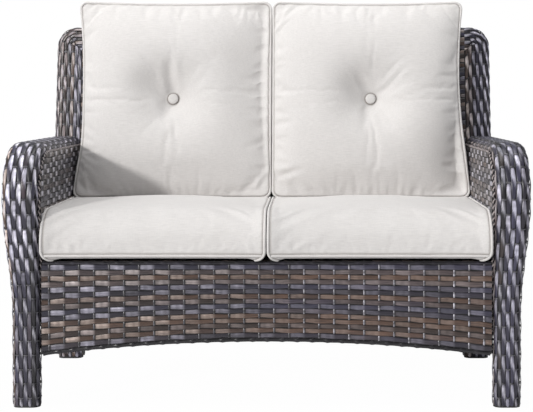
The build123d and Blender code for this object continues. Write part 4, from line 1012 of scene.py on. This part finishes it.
def piping(sheet, line, closed):
    """The covered cord along a seam, slightly uneven."""
    ahead = np.roll(line, -1, 0) - np.roll(line, 1, 0) if closed else np.gradient(line, axis=0)
    ahead = ahead / np.linalg.norm(ahead, axis=1)[:, None]
    up = np.zeros_like(line)
    u = np.cross(ahead[0], [1.0, 0.3, 0.2])
    for k in range(len(line)):
        u = u - ahead[k] * np.dot(u, ahead[k])
        u /= np.linalg.norm(u)
        up[k] = u
    if closed:
        start = up[0] - ahead[-1] * np.dot(up[0], ahead[-1])
        start /= np.linalg.norm(start)
        miss = atan2(np.dot(np.cross(up[-1], start), ahead[-1]), np.dot(up[-1], start))
        turn = np.linspace(0, miss, len(line))[:, None]
        up = up * np.cos(turn) + np.cross(ahead, up) * np.sin(turn)
    turns = circle(10)
    ring = rings(up, np.cross(ahead, up), turns)
    s = np.arange(len(line)) * SEAM_STEP
    r = PIPE * (1 + 0.05 * (0.5 * np.sin(s / 9.0) + 0.5 * np.sin(s / 23.0 + 1)))[:, None]
    pts = line[:, None] + ring * r[..., None]
    uv = texture_places(turns / 6, s)
    if closed:
        pts = np.concatenate([pts, pts[:1]])
        ring = np.concatenate([ring, ring[:1]])
        uv = np.concatenate([uv, uv[-1:]])
    sheet.grid(pts, uv, np.array(grey(0.5)), ring, closed=True)


# Cushions: an even copy of each CAD core, shaped by formula and filled by a cloth simulation

VOXEL, SMOOTHING, FRAMES = ((0.0062, 12, 21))
COVER, PIN_REACH, TUFT_HELD = 2.2, 6.5, 18
PRESSURE = {"seat": 4.0, "back": 3.0}
SHRINK = {"seat": -0.018, "back": -0.028}
GIVE = {"seat": 9.0, "back": 13.0}
SEEDS = {"left": 3, "right": 11}
CLOTH = {"quality": 4, "mass": 0.3, "use_pressure": True, "vertex_group_mass": "held",
         "tension_stiffness": 12, "compression_stiffness": 10, "shear_stiffness": 6,
         "bending_stiffness": 0.25}
# Radius and height of the buttons
BUTTON, REAR_BUTTON = (14.5, 7.0), (14.2, 3.0)


def evaluated(ob):
    return ob.evaluated_get(bpy.context.evaluated_depsgraph_get())


def baked(ob):
    """Puts the result of an object's modifiers in its mesh."""
    me = bpy.data.meshes.new_from_object(evaluated(ob))
    ob.modifiers.clear()
    ob.data = me
    return me


def remeshed(source, name):
    """An evenly meshed copy of a CAD solid."""
    ob = link(name, nodes[source].data.copy())
    mod = ob.modifiers.new("even", "REMESH")
    mod.mode = "VOXEL"
    mod.voxel_size = VOXEL
    soft = ob.modifiers.new("soft", "SMOOTH")
    soft.factor = 0.5
    soft.iterations = SMOOTHING
    me = baked(ob)
    me.name = name
    me.materials.clear()
    me.materials.append(FABRIC)
    smooth_shade(me)
    me.update()
    return ob


def seam_distance(v, seams):
    """How far each point is from the nearest seam."""
    near = np.full(len(v), 1e9)
    for line, _ in seams:
        for at in range(0, len(v), 4000):
            d = line[None] - v[at:at + 4000, None]
            found = np.sqrt(np.einsum("ijk,ijk->ij", d, d).min(1))
            near[at:at + 4000] = np.minimum(near[at:at + 4000], found)
    return near


def pillow_rise(p, up):
    """How far a back cushion's front stands out from its seam: a crown drawn in round the button."""
    half = (HIGH_UP - LOW_UP) / 2
    a = 1 - np.minimum(np.abs(p) / CAP, 1) ** 2.6
    b = 1 - np.minimum(np.abs(up - TUFT_UP) / half, 1) ** 2.6
    crown = (BACK_CROWN + 9) * (a * b) ** 0.62
    drawn = np.exp(-(np.maximum(np.hypot(p, up - TUFT_UP) - 13, 0) / 62) ** 1.2)
    return crown * (1 - drawn) + (TUFT_FLOOR - FRONT_SEAM - SEAM_OUT + 1.5) * drawn


def anchored(v, seams, reach=22.0, spread=6.0):
    """Moves the nearest places of a mesh onto its seams, and the places round them along."""
    picks, moves = [], []
    for line, _ in seams:
        for at in range(0, len(line), 300):
            part = line[at:at + 300]
            k = np.argmin(((v[None] - part[:, None]) ** 2).sum(-1), 1)
            picks.append(k)
            moves.append(part - v[k])
    picks, first = np.unique(np.concatenate(picks), return_index=True)
    moves = np.concatenate(moves)[first]
    held = v[picks]
    out = v.copy()
    for at in range(0, len(v), 3000):
        q = ((v[at:at + 3000, None] - held[None]) ** 2).sum(-1)
        w = np.exp(-(q - q.min(1)[:, None]) / (2 * spread**2))
        fade = smooth_step((reach - np.sqrt(q.min(1))) / reach)
        out[at:at + 3000] += w @ moves / w.sum(1)[:, None] * fade[:, None]
    out[picks] = held + moves
    return out


class Cushion:
    def __init__(self, row, hand, side):
        self.row, self.hand, self.side = row, hand, side
        self.middle = side * (SPLIT + CUSHION) / 2
        self.stem = f"{hand}_{row}_"
        self.body = self.stem + "cushion"
        self.ob = remeshed(self.stem + "core", self.body + "_soft")
        v, n = mesh_arrays(self.ob.data)
        v = v + n * COVER
        p = v[:, 0] - self.middle
        self.edge = CAP - np.abs(p)
        if row == "seat":
            v[:, 0] -= np.sign(p) * tucked(v[:, 2]) * smooth_step((np.abs(p) - CAP + SEAT_REACH) / SEAT_REACH)
            self.seams = seat_seams(self.middle)
        else:
            up, out = recline(v)
            ahead = -n[:, 1] * cos(LEAN) + n[:, 2] * sin(LEAN)
            weight = smooth_step((ahead - 0.2) / 0.3) * smooth_step((out - BOXING / 2) / 10)
            rise = (FRONT_SEAM + SEAM_OUT + pillow_rise(p, up) - out) * weight
            v[:, 1] -= rise * cos(LEAN)
            v[:, 2] += rise * sin(LEAN)
            v[:, 0] += side_shift(p, up, side, hand)
            self.seams = back_seams(self.middle, side, hand)
        self.base = anchored(v, self.seams)
        set_points(self.ob.data, self.base)
        self.ob.data.update()
        self.add_cloth()

    def pinned(self):
        """The places that the filling doesn't move: seams, rests, rear and tuft."""
        v = self.base
        pins = seam_distance(v, self.seams) < PIN_REACH
        if self.row == "seat":
            return pins | (v[:, 2] < DECK + 9.5) | (v[:, 1] > SEAT_REAR - 6)
        up, out = recline(v)
        tuft = np.hypot(v[:, 0] - self.middle, up - TUFT_UP) < TUFT_HELD
        return pins | (v[:, 2] < REST_Z + 6) | (out < REAR_SEAM - 2) | tuft

    def add_cloth(self):
        held = self.ob.vertex_groups.new(name="held")
        held.add([int(k) for k in np.nonzero(self.pinned())[0]], 1.0, "REPLACE")
        mod = self.ob.modifiers.new("Cloth", "CLOTH")
        for key, value in CLOTH.items():
            setattr(mod.settings, key, value)
        mod.settings.uniform_pressure_force = PRESSURE[self.row]
        mod.settings.shrink_min = SHRINK[self.row]
        mod.settings.effector_weights.gravity = 0.0
        mod.collision_settings.use_collision = False
        mod.collision_settings.use_self_collision = False

    def fill(self, result):
        """Takes over the cloth's result, softly limited, and adds the fabric's own folds."""
        limit = np.where(self.edge < 5, 1.6, GIVE[self.row])
        if self.row == "seat":
            limit = np.where(self.base[:, 2] < DECK + 12, 0.3, limit)
            limit = np.where(self.base[:, 1] > SEAT_REAR - 8, 0.4, limit)
        delta = result - self.base
        v = self.base + delta * (limit / (limit + np.linalg.norm(delta, axis=1)))[:, None]
        me = self.ob.data
        set_points(me, v)
        me.update()
        _, n = mesh_arrays(me)
        folds = self.back_folds(v) if self.row == "back" else self.seat_folds(v, n)
        set_points(me, v + n * (folds * smooth_step((seam_distance(v, self.seams) - 5) / 14))[:, None])
        me.update()

    def back_folds(self, v):
        """Puckers round the button, gathers along the seams, creases and soft hollows."""
        seed = SEEDS[self.hand]
        p = v[:, 0] - self.middle
        up, out = recline(v)
        q = up - TUFT_UP
        r = np.hypot(p, q)
        star = -3.2 * bell(r - 17.5, 3.6) + pucker_star(p, q, r, np.random.default_rng(seed))
        gathers = 0.3 * noise_line(p / 12.0, seed + 1) * bell(HIGH_UP - up - 18, 22)
        gathers += 0.3 * noise_line(p / 16.0, seed + 2) * bell(up - LOW_UP - 22, 24)
        gathers += 0.2 * noise_line(q / 20.0, seed + 3) * bell(self.edge - 16, 18)
        face = star + gathers + 1.3 * noise_line(p / 70 + q / 90, seed + 4)
        for at_p, at_q, wide_p, wide_q, deep in DENTS[self.hand]:
            face -= deep * bell(p - at_p, wide_p) * bell(q - at_q, wide_q)
        for start, end, width, deep in CREASES[self.hand]:
            face += crease(p, q, start, end, width, deep)
        boxing = 0.8 * noise_line(q / 14.0 + out / 40, seed + 5)
        return smooth_step((out - FRONT_SEAM + 4) / 14) * face + smooth_step((FRONT_SEAM - out) / 12) * boxing

    def seat_folds(self, v, n):
        seed = SEEDS[self.hand]
        p = v[:, 0] - self.middle
        folds = 0.6 * noise_line(p / 50.0 + v[:, 1] / 70.0, seed)
        top, front = smooth_step((n[:, 2] - 0.2) / 0.4), smooth_step((-n[:, 1] - 0.2) / 0.4)
        folds += top * 0.5 * noise_line(v[:, 1] / 14.0, seed + 1) * bell(CAP - np.abs(p) - 16, 18)
        folds += front * 0.3 * noise_line(p / 11.0, seed + 2) * bell(v[:, 2] - NOSE_Z + 14, 16)
        return folds * smooth_step((v[:, 2] - DECK - 12) / 20)

    def mark_seams(self):
        """The values of painted shade beside the seams and round the button, kept in the seam attribute."""
        v, _ = mesh_arrays(self.ob.data)
        groove = 0.75 * bell(seam_distance(v, self.seams) - 4.2, 2.6)
        if self.row == "back":
            up, out = recline(v)
            ring = np.hypot(v[:, 0] - self.middle, up - TUFT_UP)
            groove = np.maximum(groove, bell(ring - 15.5, 2.8) * (out > BOXING / 2))
        mark = self.ob.data.attributes.new("seam", "FLOAT", "POINT")
        mark.data.foreach_set("value", groove.astype(np.float32))

    def finish(self, result):
        self.fill(result)
        fine = self.ob.modifiers.new("fine", "SUBSURF")
        fine.levels = fine.render_levels = 1
        baked(self.ob)
        smooth_shade(self.ob.data)
        self.mark_seams()
        hidden = ("cover", "core", "tufting_cord") if self.row == "back" else ("cover", "core")
        settle(self.ob, self.body, "fabric", *(self.stem + kind for kind in hidden))
        s = Sheet()
        for line, closed in self.seams:
            piping(s, line, closed)
        settle(s.build(self.stem + "piping_cord", FABRIC), self.body, "fabric", self.stem + "piping")
        if self.row == "back":
            self.button("button", TUFT_FLOOR + GAP, *BUTTON, 1.0)
            self.button("rear_button", REAR_SEAM - REAR_CROWN + 4.0 - GAP, *REAR_BUTTON, -1.0)

    def button(self, kind, depth, radius, high, sign):
        """A cloth-covered button: a dome with small puckers round its rim."""
        s = Sheet()
        t = np.linspace(0, pi / 2, 12)
        profile_r = radius * np.concatenate([np.sin(t) ** 0.8, [1.0, 0.96]])
        profile_h = high * np.concatenate([np.cos(t) ** 0.7 * 0.75 + 0.25, [0.12, 0.0]])
        r, turns = np.meshgrid(profile_r, circle(48), indexing="ij")
        r = r * (1 + 0.02 * np.sin(turns * 11) * (r / radius) ** 3)
        px, pv = r * np.cos(turns), r * np.sin(turns)
        y, z = back_point(TUFT_UP + pv, depth + sign * profile_h[:, None])
        out = np.array([0.0, -cos(LEAN) * sign, sin(LEAN) * sign])
        nor = np.stack([px, pv * sin(LEAN), pv * cos(LEAN)], -1) / radius + out * 1.5
        s.grid(np.stack([self.middle + px, y, z], -1), np.stack([px / 1000, pv / 1000], -1),
               np.array(grey(0.5)), nor, closed=True)
        settle(s.build(f"{self.stem}{kind}_cover", FABRIC), self.body, "fabric", self.stem + kind)


def run_cloth(cushions):
    """Each cushion's points after the simulation."""
    scene = bpy.context.scene
    for number in range(1, FRAMES):
        scene.frame_set(number)
    results = [mesh_arrays(evaluated(one.ob).data)[0] for one in cushions]
    for one in cushions:
        one.ob.modifiers.clear()
    scene.frame_set(1)
    return results


def noise_line(x, seed):
    """A smooth wandering value in about -1 to 1."""
    r = np.random.default_rng(seed)
    return sum(np.sin(x * r.uniform(0.5, 2.2) * k + r.uniform(0, 6)) / k for k in range(1, 6)) / 2.2


def pucker_star(p, q, r, chance):
    """Short folds that run out from the button."""
    angle = np.arctan2(q, p)
    star = 0
    for _ in range(8):
        at, reach, wide = chance.uniform(0, 2 * pi), chance.uniform(40, 100), chance.uniform(0.08, 0.18)
        off = np.angle(np.exp(1j * (angle - at)))
        fade = smooth_step((r - 15) / 12) * smooth_step((reach - r) / (reach * 0.7))
        star -= chance.uniform(0.5, 1.3) * np.exp(-(off / wide) ** 2 * (r / 45) ** 0.6) * fade
    return star


def crease(p, q, start, end, width, depth, lip=0.35):
    """A valley along a straight run with soft lips, fading at its ends."""
    sx, sy = start
    dx, dy = end[0] - sx, end[1] - sy
    length = hypot(dx, dy)
    along = ((p - sx) * dx + (q - sy) * dy) / length
    off = ((p - sx) * -dy + (q - sy) * dx) / length + 4.0 * np.sin(along / 30.0 + sx)
    fade = smooth_step((along + 12) / 30) * smooth_step((length - along + 12) / 60)
    g = off / width
    return -depth * fade * (bell(g, 1) - lip * (bell(g - 2.1, 1) + bell(g + 2.1, 1)))


# Folds that show on the back cushions: start and end about the button, width, depth
CREASES = {
    "left": [
        ((3, 12), (-10, 116), 11, 5.5), ((-5, -14), (-30, -80), 15, 4.0), ((-34, -66), (-84, -28), 10, 1.6),
        ((-25, 262), (-24, 232), 4, 1.6), ((2, 262), (1, 238), 4, 1.4), ((188, 262), (186, 214), 6, 3.0),
        ((210, 262), (208, 218), 5, 2.8), ((231, 262), (229, 220), 5, 2.6), ((251, 260), (247, 222), 5, 2.0),
        ((-170, -262), (-160, -236), 7, 2.0), ((-95, -262), (-90, -240), 7, 1.8),
    ],
    "right": [
        ((0, -14), (-20, -104), 12, 3.2), ((20, 15), (108, 84), 6, 2.6), ((34, 12), (120, 62), 9, 1.6),
        ((-4, 12), (-36, 74), 9, 3.2), ((-262, -215), (-190, -207), 7, 6.5),
        ((-136, 262), (-140, 214), 6, 2.2),
        ((-8, 262), (-14, 214), 5, 2.4), ((14, 262), (9, 206), 6, 2.8), ((-70, -290), (-74, -236), 9, 3.4),
        ((6, -290), (0, -232), 7, 4.0), ((26, -290), (16, -240), 6, 2.4), ((50, -290), (47, -238), 7, 2.6),
        ((74, -290), (70, -244), 6, 2.2), ((124, -290), (118, -234), 8, 3.0),
        ((206, -196), (266, -192), 7, 3.0),
    ],
}
# Soft hollows: place about the button, widths, depth
DENTS = {
    "left": [(-58, 36, 58, 52, 10.0), (30, -215, 130, 40, 5.0), (250, 60, 110, 220, 25.0)],
    "right": [(-32, 36, 38, 38, 7.0), (288, -190, 96, 108, 32.0), (-30, -240, 130, 34, 5.0)],
}


# Finish for the CAD pieces that stay, by the end of their names; what isn't named here is woven and gets the
# near-black painted shade
FINISHES = {
    "back_frame": TUBE, "seat_frame": TUBE, "arm_frame": TUBE,
    "bolts": STEEL, "nuts": STEEL, "washers": STEEL, "glide": BLACK,
    "zip": ZIP, "zip_slider": STEEL, "core": FABRIC, "cover": FABRIC, "piping": FABRIC,
    "button": FABRIC, "tufting_cord": FABRIC,
}


def paint():
    for name, ob in nodes.items():
        found = [material for end, material in FINISHES.items() if name.endswith(end)]
        ob.data.materials.clear()
        ob.data.materials.append(found[0] if found else SKIN)


# Stage, light and camera

def aim(ob, way):
    ob.rotation_euler = Vector(way).to_track_quat("-Z", "Y").to_euler()


def light(name, kind, way, place=(0, 0, 0), **values):
    data = bpy.data.lights.new(name, kind)
    for key, value in values.items():
        setattr(data, key, value)
    ob = link(name, data)
    ob.location = place
    aim(ob, way)


def lamp(name, place, target, width, height, power):
    """A flat soft lamp turned towards its target."""
    light(name, "AREA", np.array(target) - np.array(place), place, shape="RECTANGLE", size=width,
          size_y=height, energy=power)


def floor():
    """A pale floor that the camera sees as almost plain white."""
    half, share = 12000.0, 0.985
    made, tree, shader = new_material("floor_pale")
    shader.inputs["Base Color"].default_value = (*grey(0.9), 1)
    shader.inputs["Roughness"].default_value = 0.9
    seen = add(tree, "LightPath").outputs["Is Camera Ray"]
    amount = add(tree, "Math", {0: seen}, operation="MULTIPLY")
    amount.inputs[1].default_value = share
    white = add(tree, "Emission", Color=(1, 1, 1, 1), Strength=1.0)
    both = add(tree, "MixShader", {0: amount.outputs[0], 1: shader.outputs[0], 2: white.outputs[0]})
    tree.links.new(both.outputs[0], tree.nodes["Material Output"].inputs["Surface"])
    corners = np.array([[-half, -half, 0], [half, -half, 0], [half, half, 0], [-half, half, 0]])
    make_mesh("floor", corners, np.array([[0, 1, 2, 3]]), made)


def studio():
    """A soft bluish surround that the camera sees as white."""
    world = bpy.data.worlds.new("studio")
    bpy.context.scene.world = world
    world.use_nodes = True
    tree = world.node_tree
    tree.nodes.clear()
    seen = add(tree, "LightPath").outputs["Is Camera Ray"]
    soft = add(tree, "Background", Color=(0.95, 0.97, 1.0, 1), Strength=0.36)
    white = add(tree, "Background", Color=(1, 1, 1, 1), Strength=1.0)
    blend = add(tree, "MixShader", {0: seen, 1: soft.outputs[0], 2: white.outputs[0]})
    add(tree, "OutputWorld", {0: blend.outputs[0]})


def camera():
    """The photo's view, with a shift because its frame doesn't sit round the object's middle."""
    data = bpy.data.cameras.new("view")
    data.sensor_width = 36.0
    data.lens = 88.8
    data.shift_x = -0.0797
    data.shift_y = -0.142
    data.clip_end = 60
    ob = link("view", data)
    ob.location = (0.1046, FRONT_Y / 1000 - 3.2, 0.771)
    ob.rotation_euler = (radians(90 - 1.5), 0, 0)
    bpy.context.scene.camera = ob


paint()
front_apron()
rear_apron()
arms()
posts()
panels()
back_faces()
deck()
cushions = [Cushion(row, hand, side) for side, hand in ((-1, "left"), (1, "right"))
            for row in ("seat", "back")]
for cushion, points in zip(cushions, run_cloth(cushions)):
    cushion.finish(points)
floor()
studio()
light("key", "SUN", (0.58, 0.77, -0.27), energy=1.95, angle=radians(4), color=(1.0, 0.99, 0.97))
lamp("top", (0.0, -0.2, 3.2), (0, 0, 0), 2.4, 1.6, 50)
lamp("left", (-3.2, -1.4, 1.7), (0, 0, 0.5), 1.6, 1.6, 34)
camera()
bpy.context.scene.view_settings.view_transform = "Standard"
